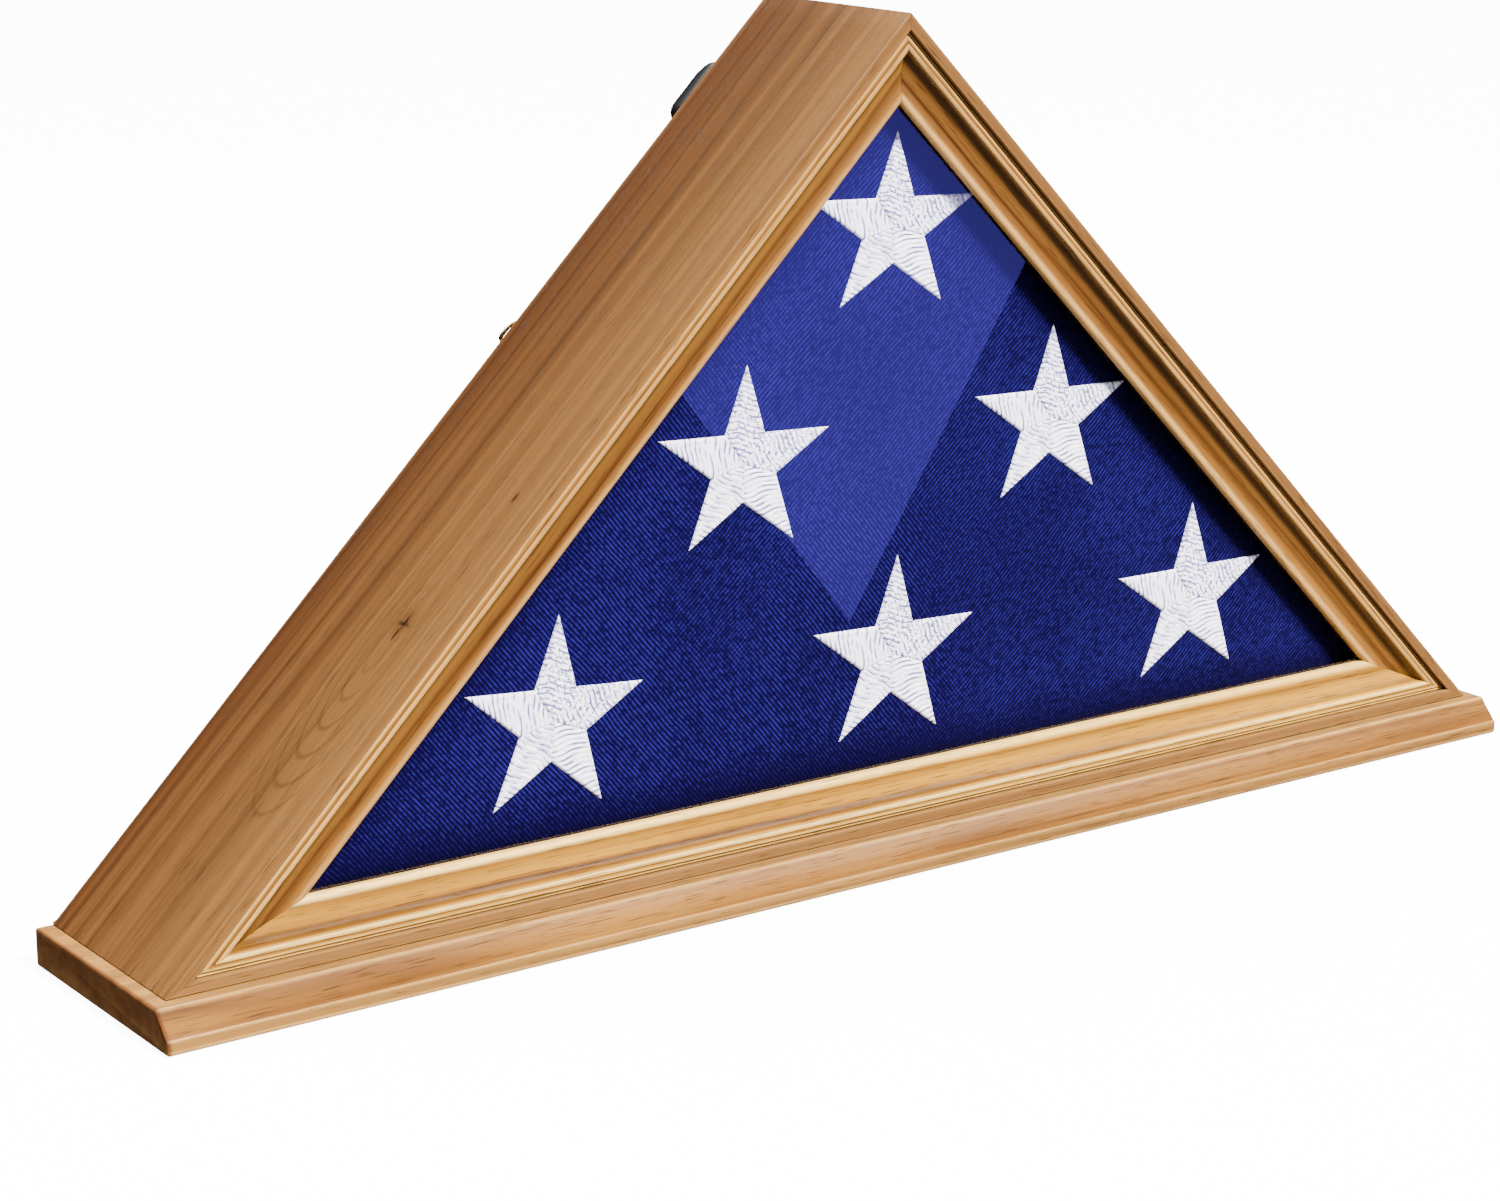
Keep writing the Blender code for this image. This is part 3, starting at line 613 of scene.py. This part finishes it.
def clothMaterial(looks):
    # two sets of fine sine ribs lean opposite ways, and slow noise says which one shows
    made, tree, shader = newMaterial("flag_twill", Roughness=0.8, Sheen_Weight=0.02, Sheen_Roughness=0.4,
                                     Specular_IOR_Level=0.04)
    place = objectPlace(tree)
    wobble = vectorWork(tree, "MULTIPLY", vectorWork(
        tree, "SUBTRACT", noise(tree, place, (28, 28, 28), 2.0, 0.5, "Color"), (0.5, 0.5, 0.5)),
        (looks["wobble"], 0.0, looks["wobble"]))
    bent = vectorWork(tree, "ADD", place, wobble)
    ribs = []
    for turn in looks["ribTurns"]:
        across = (math.sin(turn), 0.0, math.cos(turn))
        travel = dot(tree, bent, across)
        wave = work(tree, "SINE", work(tree, "MULTIPLY", travel, 2 * math.pi / looks["ribPitch"]))
        ribs.append(work(tree, "MULTIPLY_ADD", wave, 0.5, 0.5))
    sideways = dot(tree, place, (1.6, 0.0, 1.2))
    region = work(tree, "ADD", noise(tree, place, (11, 11, 11), 2.0), sideways)
    inputs = {0: smoothBetween(tree, region, 0.45, 0.75), 2: ribs[0], 3: ribs[1]}
    level = addNode(tree, "ShaderNodeMix", inputs, data_type="FLOAT").outputs[0]
    # the threads break each rib into short glints
    glint = noise(tree, place, looks["glint"], 2.0, 0.6)
    level = work(tree, "MULTIPLY", level, smoothBetween(tree, glint, 0.25, 0.72, 0.35, 1.1))
    grit = noise(tree, place, looks["grit"], 2.0, 0.6)
    height = work(tree, "MULTIPLY_ADD", grit, 0.35, level)
    fade = smoothBetween(tree, noise(tree, place, (14, 14, 14), 2.0), 0.3, 0.7, 0.8, 1.0)
    # the cloth is painted darker towards the frame, a painted shade for where it turns away and lies in the
    # moulding's shadow
    rim = addNode(tree, "ShaderNodeAttribute", attribute_name="rim").outputs["Fac"]
    shaded = work(tree, "MULTIPLY", fade, smoothBetween(tree, rim, 0.0, looks["rimShade"], 0.45, 1.0))
    # the colour follows the ribs: painted shade in their valleys and a painted highlight on their crests
    colour = colourRamp(tree, work(tree, "MULTIPLY", height, shaded), (
        (0.05, looks["deep"]), (0.45, looks["royal"]), (0.95, looks["thread"])))
    paint(tree, shader, colour)
    bump(tree, shader, height, looks["reliefDepth"], 0.9)
    return made


flagShape = {
    "round": 0.009,
    "crown": 0.0020,
    "cornerPower": 34.0,
    "around": 420,
    "faceSteps": 90,
    "edgeSteps": 14,
    "sideSteps": 26,
    "layers": 9,
    "layerDepth": 0.00045,
    "sharpAngle": 70.0,
    # folds are sine ridges, each a direction in radians, a pitch in metres and a phase
    "frontSet": 0.0006,
    "frontFolds": ((0.8, 0.21, 0.4), (2.3, 0.17, 1.9), (1.5, 0.29, 3.0)),
    "frontFoldHeight": 0.0004,
    "rearSet": 0.0042,
    "rearFolds": ((0.5, 0.12, 1.0), (2.0, 0.16, 0.3), (1.2, 0.09, 2.2)),
    "rearFoldHeight": 0.0007,
    "flapHeight": 0.0016,
    "flapSoft": 0.004,
    "pocketHeight": 0.0013,
    "pocketSoft": 0.0035,
}
flagLow, flagHigh = flagPoints.min(0), flagPoints.max(0)
flagInset = flagLow[2] - case["foot"]
# the incentre of the flag's triangle lies as far from all three sides
flagRadius = case["halfWidth"] * math.tan(halfAngle["left"]) - flagInset
flagCentre = np.array([0.0, flagLow[2] + flagRadius])
sideNormals = np.array([[0.0, -1.0], [-math.sqrt(0.5), math.sqrt(0.5)], [math.sqrt(0.5), math.sqrt(0.5)]])


def wrinkle(x, z, seeds, amount):
    # a sum of a few slow sine ridges in fixed directions
    total = np.zeros_like(x)
    for turn, pitch, phase in seeds:
        total += np.sin(2 * math.pi * (x * math.cos(turn) + z * math.sin(turn)) / pitch + phase)
    return total * amount / len(seeds)


def ledge(distance, soft):
    # 0 on one side of a line and 1 on the other, with a rounded step between
    share = np.clip(distance / soft + 0.5, 0, 1)
    return share * share * (3 - 2 * share)


def rimDistance(x, z):
    # how far a point lies inside the flag's triangle, measured square to the nearest side
    reach = (x[..., None] * sideNormals[:, 0] + (z[..., None] - flagCentre[1]) * sideNormals[:, 1]).max(-1)
    return flagRadius - reach


def flagFront(x, z):
    # depth of the front face: level in the middle, falling back towards the rim, with faint folds beneath
    hollow = np.clip(1 - rimDistance(x, z) / flagRadius, 0, 1)
    folds = wrinkle(x, z, flagShape["frontFolds"], flagShape["frontFoldHeight"])
    return flagLow[1] + flagShape["frontSet"] + flagShape["crown"] * hollow ** 2 + folds


def flagRear(x, z):
    # depth of the back: the last fold lies over the right half and its corner is tucked into a pocket
    hollow = np.clip(1 - rimDistance(x, z) / flagRadius, 0, 1)
    pastFlap = x + 0.02 + 0.1 * (z - flagCentre[1])
    pastPocket = (flagCentre[1] - 0.012 - z) + 0.42 * x
    flap = ledge(pastFlap, flagShape["flapSoft"]) * flagShape["flapHeight"]
    pocket = ledge(pastPocket, flagShape["pocketSoft"]) * flagShape["pocketHeight"]
    folds = wrinkle(x, z, flagShape["rearFolds"], flagShape["rearFoldHeight"])
    return flagHigh[1] - flagShape["rearSet"] + flap + pocket - flagShape["crown"] * hollow ** 2 + folds


def flagMesh(shape, finish):
    # around: the direction from the incentre, spaced evenly along the rim. across: from the middle of the
    # front, over the rounded edge, down the layered side, and in to the middle of the back
    sweep = np.linspace(0, 2 * math.pi, 6001)     # fine enough to measure the rim by

    def rimReach(angle):
        facing = np.stack([np.cos(angle), np.sin(angle)], -1) @ sideNormals.T
        spread = (np.clip(facing, 0, None) ** shape["cornerPower"]).sum(-1)
        return flagRadius / spread ** (1 / shape["cornerPower"])

    rim = np.stack([np.cos(sweep), np.sin(sweep)], -1) * rimReach(sweep)[:, None]
    walked = np.concatenate([[0], np.cumsum(np.linalg.norm(np.diff(rim, axis=0), axis=1))])
    angle = np.interp(np.linspace(0, walked[-1], shape["around"] + 1)[:-1], walked, sweep)
    reach = rimReach(angle)

    soft = shape["round"] / flagRadius
    inner = np.linspace(0, 1, shape["faceSteps"] + 1) * (1 - soft)
    quarterTurn = np.linspace(0, math.pi / 2, shape["edgeSteps"] + 1)[1:]
    scale = np.concatenate([inner, 1 - soft * (1 - np.sin(quarterTurn)),
                            np.ones(shape["sideSteps"]), 1 - soft * (1 - np.sin(quarterTurn[::-1])),
                            inner[::-1]])
    fallFront = np.concatenate([np.zeros(len(inner)), 1 - np.cos(quarterTurn)])
    rows = len(scale)
    x = np.cos(angle)[None] * reach[None] * scale[:, None]
    z = flagCentre[1] + np.sin(angle)[None] * reach[None] * scale[:, None]
    frontDepth, rearDepth = flagFront(x, z), flagRear(x, z)
    half = len(inner) + shape["edgeSteps"]
    depth = np.empty_like(x)
    depth[:half] = frontDepth[:half] + shape["round"] * fallFront[:, None]
    depth[-half:] = rearDepth[-half:] - shape["round"] * fallFront[::-1][:, None]
    down = (np.arange(1, shape["sideSteps"] + 1) / (shape["sideSteps"] + 1))[:, None]
    depth[half:-half] = depth[half - 1] * (1 - down) + depth[-half] * down
    # the folded layers show as shallow grooves round the side
    groove = shape["layerDepth"] * np.abs(np.sin(math.pi * shape["layers"] * down)) - shape["layerDepth"]
    draw = 1 + groove / flagRadius
    x[half:-half] *= draw
    z[half:-half] = flagCentre[1] + (z[half:-half] - flagCentre[1]) * draw
    points = np.stack([x, depth, z], -1).reshape(-1, 3)
    faces = gridFaces(rows, shape["around"], closedColumns=True)
    rim = rimDistance(x, z)
    rim[half:] = shape["round"]
    return meshObject("folded_flag_cloth", points, faces, finish, shape["sharpAngle"], rim=rim)


twill = clothMaterial(clothLooks)
flag = finishPiece(flagMesh(flagShape, twill), "case", "flag_cloth", "folded_flag")
print("stage: flag made")


starShape = {
    "radius": 0.0403,
    "notch": 0.382,
    "height": 0.0010,
    "edge": 0.0014,
    "seam": 0.00045,
    "seamDepth": 0.0004,
    "slitDepth": 0.0008,
    "rowPitch": 0.0021,
    "rowDepth": 0.00042,
    "alongSteps": 130,
    "acrossSteps": 38,
    "sunk": 0.0004,
    "slitPlace": 0.13,      # along the arm, as a share of the radius
    "slitReach": 0.10,
    "rowWave": 0.25,
    "rowWaveLength": 0.0021,
    "borderDepth": 0.00005,
    "borderPitch": 0.0007,
    "mergeWithin": 2e-6,
    "sharpAngle": 75.0,
    # rows from the bottom up: how many stars, how far apart, the row's middle, its height above the flag's
    # foot, and for each star its turn in degrees, its width and its height against the radius above
    "rows": ((3, 0.160, 0.0055, 0.0515, ((-4.5, 1.02, 1.02), (-2.0, 1.045, 1.02), (-1.0, 1.07, 1.0))),
             (2, 0.1525, 0.0090, 0.1385, ((-2.5, 1.03, 0.96), (-2.0, 1.05, 0.945))),
             (1, 0.0, 0.0040, 0.2235, ((-2.5, 1.05, 0.92),))),
    # for each arm, how far its stitch rows lean from straight across it in degrees, how deep they are, and
    # how much of the arm is broken up into short knots
    "lean": ((14, 0.45, 1.0), (-12, 0.5, 1.0), (26, 1.1, 0.3), (-8, 1.3, 0.1), (-24, 0.25, 0.3)),
}


def threadMaterial():
    made, tree, shader = newMaterial("star_thread", Roughness=0.46, Sheen_Weight=0.3, Sheen_Roughness=0.3,
                                     Specular_IOR_Level=0.35)
    stitch = addNode(tree, "ShaderNodeUVMap", uv_map="stitch").outputs[0]
    strand = noise(tree, stitch, (2600, 120, 1), 2.0, 0.6)
    fleck = noise(tree, stitch, (800, 380, 1), 2.0, 0.6)
    height = work(tree, "MULTIPLY_ADD", fleck, 0.6, strand)
    # the thread dips between the rows, more in some places than in others, and round the knots, and the
    # dips are painted darker as painted shade
    turns = dot(tree, stitch, (2 * math.pi / starShape["rowPitch"], 0, 0))
    dipShade = work(tree, "MULTIPLY_ADD", work(tree, "COSINE", turns), -0.5, 0.5)
    uneven = smoothBetween(tree, noise(tree, stitch, (260, 160, 1), 2.0), 0.38, 0.60, 0.15, 1.0)
    dipShade = work(tree, "MULTIPLY", work(tree, "POWER", dipShade, 2.2), uneven)
    knotted = addNode(tree, "ShaderNodeAttribute", attribute_name="knots").outputs["Fac"]
    gaps = smoothBetween(tree, noise(tree, stitch, (820, 700, 1), 2.0, 0.6), 0.49, 0.38, 0.0, 0.95)
    dipShade = work(tree, "MAXIMUM", dipShade, work(tree, "MULTIPLY", gaps, knotted))
    shade = work(tree, "SUBTRACT", height, dipShade)
    colour = colourRamp(tree, shade, (
        (0.0, (0.12, 0.10, 0.26)), (0.40, (0.58, 0.53, 0.76)), (0.72, (0.97, 0.93, 1.0))))
    paint(tree, shader, colour)
    bump(tree, shader, height, 0.00018, 0.8)
    return made


def starArm(shape, arm, rng):
    # along: from the star's middle to the tip. across: from one edge of the kite to the other.
    # height: a quarter ellipse in from the outer edge, less the seam beside the next arm, plus stitch rows
    radius, notch = shape["radius"], shape["radius"] * shape["notch"]
    share = np.linspace(0, 1, shape["alongSteps"])
    along = share[:, None] * radius
    halfArm = math.radians(36)
    notchAlong, notchAcross = notch * math.cos(halfArm), notch * math.sin(halfArm)
    half = np.minimum(along / notchAlong, (radius - along) / (radius - notchAlong)) * notchAcross
    across = np.linspace(-1, 1, shape["acrossSteps"])[None] * half
    along = np.broadcast_to(along, across.shape)
    tipTurn = math.atan2(notchAcross, radius - notchAlong)
    toEdge = (radius - along) * math.sin(tipTurn) - np.abs(across) * math.cos(tipTurn)
    toSeam = along * math.sin(halfArm) - np.abs(across) * math.cos(halfArm)
    rim = np.clip(toEdge / shape["edge"], 0, 1)
    height = shape["height"] * np.sqrt(np.clip(1 - (1 - rim) ** 2, 0, 1))
    # a seam is a narrow valley; the one between the first two arms opens into a slit near the middle
    valley = np.exp(-(toSeam / shape["seam"]) ** 2)
    height -= shape["seamDepth"] * valley * np.clip(toEdge / (2 * shape["edge"]), 0, 1)
    facing = {0: -1, 4: 1}.get(arm, 0)
    fromSlit = (along - shape["slitPlace"] * radius) / (shape["slitReach"] * radius)
    inSlit = (np.sign(across) == facing) * np.exp(-fromSlit ** 4)
    height -= shape["slitDepth"] * inSlit * np.exp(-(toSeam / (0.6 * shape["seam"])) ** 2)
    lean, depth = shape["lean"][arm][:2]
    slope = math.radians(lean)
    phase = (along * math.cos(slope) + across * math.sin(slope)) / shape["rowPitch"]
    phase = phase + shape["rowWave"] * np.sin(across / shape["rowWaveLength"] + arm)
    uneven = rng.uniform(0.3, 1.0, 64)[np.clip(np.floor(phase).astype(int), -20, 43) + 20]
    inside = np.clip((toEdge - 0.7 * shape["edge"]) / shape["edge"], 0, 1)
    height += shape["rowDepth"] * depth * uneven * (np.cos(2 * math.pi * phase) - 1) / 2 * inside
    # a satin border: fine stitches that run out over the edge
    border = np.clip(1 - np.abs(toEdge / shape["edge"] - 0.6) / 0.6, 0, 1)
    height += shape["borderDepth"] * border * np.sin(2 * math.pi * along / shape["borderPitch"])
    return along, across, height, phase


def makeStar(name, middle, worked, shape, finish, rng):
    # each arm is turned about the star's middle, and the whole star is then stretched and turned
    slant, wide, tall = worked
    slant = math.radians(slant)
    parts, faces, stitches, knots = [], [], [], []
    count = 0
    for arm in range(5):
        along, across, height, phase = starArm(shape, arm, rng)
        turn = math.radians(90 - 72 * arm)
        right = wide * (along * math.cos(turn) + across * math.sin(turn))
        up = tall * (along * math.sin(turn) - across * math.cos(turn))
        x = middle[0] + right * math.cos(slant) - up * math.sin(slant)
        z = middle[1] + right * math.sin(slant) + up * math.cos(slant)
        depth = flagFront(x, z) - np.maximum(height, 0.0)
        parts.append(np.stack([x, depth, z], -1).reshape(-1, 3))
        stitches.append(np.stack([phase * shape["rowPitch"] + arm * 0.1, across], -1).reshape(-1, 2))
        knots.append(np.full(along.size, shape["lean"][arm][2], np.float32))
        faces.append(gridFaces(*along.shape) + count)
        count += along.size
    points, faces, stitches = np.concatenate(parts), np.concatenate(faces), np.concatenate(stitches)
    mesh = bpy.data.meshes.new(name)
    mesh.from_pydata(points, [], faces)
    order = np.empty(len(mesh.loops), np.int32)
    mesh.loops.foreach_get("vertex_index", order)
    layer = mesh.uv_layers.new(name="stitch")
    layer.data.foreach_set("uv", stitches[order].astype(np.float32).ravel())
    mesh.attributes.new("knots", "FLOAT", "POINT").data.foreach_set("value", np.concatenate(knots))
    closed = bmesh.new()
    closed.from_mesh(mesh)
    bmesh.ops.remove_doubles(closed, verts=closed.verts, dist=shape["mergeWithin"])
    # the outline is carried down into the cloth and closed behind
    outline = [edge for edge in closed.edges if edge.is_boundary]
    skirt = bmesh.ops.extrude_edge_only(closed, edges=outline)["geom"]
    sunkPoints = [part for part in skirt if isinstance(part, bmesh.types.BMVert)]
    bmesh.ops.translate(closed, verts=sunkPoints, vec=(0, shape["sunk"], 0))
    rim = [part for part in skirt if isinstance(part, bmesh.types.BMEdge) and part.is_boundary]
    bmesh.ops.edgeloop_fill(closed, edges=rim)
    bmesh.ops.recalc_face_normals(closed, faces=closed.faces)
    closed.to_mesh(mesh)
    closed.free()
    mesh.shade_smooth()
    mesh.set_sharp_from_angle(angle=math.radians(shape["sharpAngle"]))
    mesh.materials.append(finish)
    return placeInScene(name, mesh)


thread = threadMaterial()
stitchDraws = np.random.default_rng(5)
for rowCount, (stars, pitch, rowMiddle, height, worked) in enumerate(starShape["rows"], 1):
    for place in range(stars):
        spot = (rowMiddle + pitch * (place - (stars - 1) / 2), flagLow[2] + height)
        star = makeStar(f"flag_star_{rowCount}_{place + 1}", spot, worked[place], starShape, thread,
                        stitchDraws)
        finishPiece(star, "case", "flag_cloth")
print("stage: stars made")


paneLooks = {
    "tint": (0.985, 0.995, 0.99, 1),
    "mirror": (1, 1, 1, 1),
    "ior": 1.5,
}


def glassMaterial(looks):
    # a thin pane: most light goes straight through, and the rest is mirrored by the angle it meets
    made = bpy.data.materials.new("pane_glass")
    made.use_nodes = True
    tree = made.node_tree
    tree.nodes.clear()
    through = addNode(tree, "ShaderNodeBsdfTransparent", {"Color": looks["tint"]})
    mirror = addNode(tree, "ShaderNodeBsdfGlossy", {"Color": looks["mirror"], "Roughness": 0.0})
    edge = addNode(tree, "ShaderNodeFresnel", {"IOR": looks["ior"]})
    # straight rays would meet the far face past its critical angle, so only the near face mirrors
    behind = addNode(tree, "ShaderNodeNewGeometry").outputs["Backfacing"]
    share = work(tree, "MULTIPLY", edge.outputs[0], work(tree, "SUBTRACT", 1.0, behind))
    mixed = addNode(tree, "ShaderNodeMixShader", {0: share, 1: through.outputs[0], 2: mirror.outputs[0]})
    addNode(tree, "ShaderNodeOutputMaterial", {"Surface": mixed.outputs[0]})
    return made


beechLooks = {
    "pale": (0.62, 0.42, 0.24),
    "dark": (0.48, 0.30, 0.16),
    "fleck": (900, 250, 900),
}


def beechMaterial(looks):
    made, tree, shader = newMaterial("beech_biscuit", Roughness=0.7)
    fleck = noise(tree, objectPlace(tree), looks["fleck"], 3.0, 0.6)
    paint(tree, shader, colourRamp(tree, fleck, ((0.3, looks["pale"]), (0.7, looks["dark"]))))
    bump(tree, shader, fleck, 0.0001)
    return made


hardboardLooks = {
    "black": (0.0055, 0.0055, 0.0060),
    "scuffed": (0.0105, 0.0100, 0.0095),
    "meshPitch": 0.0016,
    "cloud": (22, 22, 22),
}


def hardboardMaterial(looks):
    # black painted hardboard: a fine pressed mesh shows through the paint, with faint scuffs
    made, tree, shader = newMaterial("black_hardboard", Specular_IOR_Level=0.3)
    place = objectPlace(tree)
    weave = []
    turns = 2 * math.pi / looks["meshPitch"]
    for across in ((turns, 0, 0), (0, 0, turns)):
        weave.append(work(tree, "SINE", dot(tree, place, across)))
    mesh = work(tree, "MULTIPLY", weave[0], weave[1])
    cloud = noise(tree, place, looks["cloud"], 4.0, 0.6)
    paint(tree, shader, colourRamp(tree, cloud, ((0.3, looks["black"]), (0.75, looks["scuffed"]))),
          smoothBetween(tree, cloud, 0.3, 0.8, 0.5, 0.75))
    bump(tree, shader, work(tree, "MULTIPLY_ADD", mesh, 0.3, cloud), 0.00015, 0.7)
    return made


plasticLooks = {
    "black": (0.0035, 0.0035, 0.0040),
    "grey": (0.0090, 0.0090, 0.0098),
    "grit": (2200, 2200, 2200),
}


def plasticMaterial(looks):
    made, tree, shader = newMaterial("black_plastic", Specular_IOR_Level=0.45)
    grit = noise(tree, objectPlace(tree), looks["grit"], 3.0, 0.6)
    paint(tree, shader, colourRamp(tree, grit, ((0.3, looks["black"]), (0.8, looks["grey"]))),
          smoothBetween(tree, grit, 0.2, 0.9, 0.34, 0.52))
    bump(tree, shader, grit, 0.00005, 0.6)
    return made


brassLooks = {"bright": (0.83, 0.62, 0.27), "dull": (0.62, 0.43, 0.17), "roughness": 0.26}
zincLooks = {"bright": (0.72, 0.73, 0.75), "dull": (0.50, 0.51, 0.54), "roughness": 0.3}


def metalMaterial(name, looks):
    made, tree, shader = newMaterial(name, Metallic=1.0)
    place = objectPlace(tree)
    stain = noise(tree, place, (180, 180, 180), 3.0, 0.6)
    scratch = noise(tree, place, (300, 2600, 900), 2.0, 0.5)
    worn = work(tree, "MULTIPLY_ADD", scratch, 0.16, looks["roughness"] - 0.08)
    paint(tree, shader, colourRamp(tree, stain, ((0.3, looks["dull"]), (0.65, looks["bright"]))),
          work(tree, "MULTIPLY_ADD", stain, 0.1, worn))
    bump(tree, shader, scratch, 0.00003, 0.5)
    return made


finishes = {
    "beech": beechMaterial(beechLooks),
    "black_hardboard": hardboardMaterial(hardboardLooks),
    "black_plastic": plasticMaterial(plasticLooks),
    "hanger_brass": metalMaterial("brassed_steel", brassLooks),
    "zinc_steel": metalMaterial("zinc_steel", zincLooks),
}


# how far the edges of the small wooden, board and metal pieces are eased
copyEdges = {"stop": 0.0003, "biscuit": 0.0003, "panel": 0.0004, "strap": 0.00015}


def polishedCopy(node, slot, edge=0.0, finish=None):
    # the CAD solid with its triangles merged into flat faces and its edges eased
    mesh = bpy.data.meshes.new(f"{node}_finished")
    merged = bmesh.new()
    merged.from_mesh(frame["nodes"][node].data)
    bmesh.ops.remove_doubles(merged, verts=merged.verts, dist=meshing["mergeWithin"])
    flat = math.radians(meshing["flatWithin"])
    bmesh.ops.dissolve_limit(merged, angle_limit=flat, verts=merged.verts, edges=merged.edges)
    merged.to_mesh(mesh)
    merged.free()
    mesh.materials.clear()
    mesh.materials.append(finish or finishes[slot])
    mesh.shade_smooth()
    sharp = math.radians(meshing["copySharpAngle"])
    mesh.set_sharp_from_angle(angle=sharp)
    piece = placeInScene(f"{node}_finished", mesh)
    if edge:
        eased = piece.modifiers.new("easedEdges", "BEVEL")
        eased.width, eased.segments = edge, meshing["copyEdgeSegments"]
        eased.limit_method, eased.angle_limit = "ANGLE", sharp
        piece.modifiers.new("evenShading", "WEIGHTED_NORMAL").keep_sharp = True
    return finishPiece(piece, bodyOf[node], slot, node)


for side in sideEnds:
    polishedCopy(f"glass_stop_{side}", "oiled_hardwood", copyEdges["stop"], woods[f"moulding_{side}"])
for corner in ("apex", "left_foot", "right_foot"):
    polishedCopy(f"{corner}_biscuit", "beech", copyEdges["biscuit"])
polishedCopy("back_panel", "black_hardboard", copyEdges["panel"])
for side in ("left", "right"):
    for level in ("upper", "lower"):
        button = f"turn_button_{level}_{side}"
        polishedCopy(button, "black_plastic")
        polishedCopy(f"{button}_screw", "zinc_steel")
    polishedCopy(f"hanger_strap_{side}", "hanger_brass", copyEdges["strap"])
    polishedCopy(f"hanger_ring_{side}", "hanger_brass")
    polishedCopy(f"hanger_screw_{side}", "zinc_steel")
    for count in (1, 2):
        polishedCopy(f"base_screw_{side}_{count}", "zinc_steel")

pane = frame["nodes"]["glass_pane"]
pane.data.materials.clear()
pane.data.materials.append(glassMaterial(paneLooks))
print("stage: panel, hardware and glass finished")


floorLooks = {
    "pale": (0.89, 0.89, 0.89),
    "dull": (0.86, 0.86, 0.86),
    "glow": 10.0,
    "reach": 20.0,
    "drop": 0.0002,
}


def makeFloor(looks):
    # one square, level, just under the base
    made, tree, shader = newMaterial("pale_floor", Roughness=0.35, Specular_IOR_Level=0.3,
                                     Emission_Color=(1, 1, 1, 1), Emission_Strength=looks["glow"])
    cloud = noise(tree, objectPlace(tree), (0.8, 0.8, 0.8), 2.0)
    paint(tree, shader, colourRamp(tree, cloud, ((0.2, looks["dull"]), (0.8, looks["pale"]))))
    reach, level = looks["reach"], -looks["drop"]
    points = [(x * reach, y * reach, level) for x, y in ((-1, -1), (1, -1), (1, 1), (-1, 1))]
    floor = meshObject("floor", points, [(0, 1, 2, 3)], made)
    floor.visible_glossy = floor.visible_diffuse = False


studio = {
    "worldColour": (0.97, 0.98, 1.0, 1),
    "worldStrength": 1.1,
    "aim": (0, 0, 0.15),
    "sun": {"power": 19.5, "spread": 12, "colour": (1, 0.99, 0.98), "way": (-0.15, 0.68, -0.78)},
    "key_panel": {"place": (1.5, -1.9, 1.5), "size": (1.1, 1.1), "power": 44, "colour": (1, 0.985, 0.96)},
    "top_panel": {"place": (-0.1, 0.4, 1.8), "size": (1.6, 0.9), "power": 76, "colour": (1, 1, 1)},
}


def addPanel(name, panel, aim):
    lamp = bpy.data.lights.new(name, "AREA")
    lamp.shape = "RECTANGLE"
    lamp.size, lamp.size_y = panel["size"]
    lamp.energy, lamp.color = panel["power"], panel["colour"]
    placed = placeInScene(name, lamp)
    placed.location = panel["place"]
    placed.rotation_euler = (Vector(aim) - Vector(panel["place"])).to_track_quat("-Z", "Y").to_euler()
    placed.visible_camera = False


def addSun(sun):
    lamp = bpy.data.lights.new("key_light", "SUN")
    lamp.energy, lamp.angle, lamp.color = sun["power"], math.radians(sun["spread"]), sun["colour"]
    placed = placeInScene("key_light", lamp)
    placed.rotation_euler = Vector(sun["way"]).to_track_quat("-Z", "Y").to_euler()
    placed.visible_glossy = False


world = bpy.data.worlds.new("studio")
world.use_nodes = True
background = world.node_tree.nodes["Background"]
background.inputs["Color"].default_value = studio["worldColour"]
background.inputs["Strength"].default_value = studio["worldStrength"]
world.cycles_visibility.glossy = False
bpy.context.scene.world = world

makeFloor(floorLooks)
addSun(studio["sun"])
for name in ("key_panel", "top_panel"):
    addPanel(name, studio[name], studio["aim"])

glassPanel = {
    "corner": (0.930, -1.290, -0.330),
    "size": 0.81,
    "turn": -18.5,
    "power": 7.3,
    "colour": (0.17, 0.12, 1.0),
}


def addGlassPanel(panel):
    # a square on its corner, seen only in the glass: two sides run up and outwards from the lower corner
    lamp = bpy.data.lights.new("glass_panel", "AREA")
    lamp.shape, lamp.size, lamp.energy = "SQUARE", panel["size"], panel["power"]
    lamp.color = panel["colour"]
    turn = math.radians(panel["turn"])
    across, up = Vector((math.cos(turn), math.sin(turn), 0)), Vector((0, 0, 1))
    axes = ((across + up).normalized(), (up - across).normalized(), across.cross(up))
    middle = Vector(panel["corner"]) + up * panel["size"] / math.sqrt(2)
    glow = placeInScene("glass_panel", lamp)
    glow.matrix_world = Matrix.Translation(middle) @ Matrix(axes).transposed().to_4x4()
    glow.visible_camera = glow.visible_diffuse = False
    paneOnly = bpy.data.collections.new("pane_only")
    paneOnly.objects.link(pane)
    glow.light_linking.receiver_collection = paneOnly


addGlassPanel(glassPanel)

cameraSetting = {
    "lens": 82.82,
    "sensor": 36.0,
    "clip": (0.01, 100),
    "place": (-0.8115, -1.0816, 0.4627),
    "turn": (74.953, -0.121, -35.458),
}
lens = bpy.data.cameras.new("camera")
lens.lens, lens.sensor_width = cameraSetting["lens"], cameraSetting["sensor"]
lens.clip_start, lens.clip_end = cameraSetting["clip"]
camera = placeInScene("camera", lens)
camera.location = cameraSetting["place"]
camera.rotation_euler = [math.radians(angle) for angle in cameraSetting["turn"]]
bpy.context.scene.camera = camera
print("stage: floor, lights and camera set")
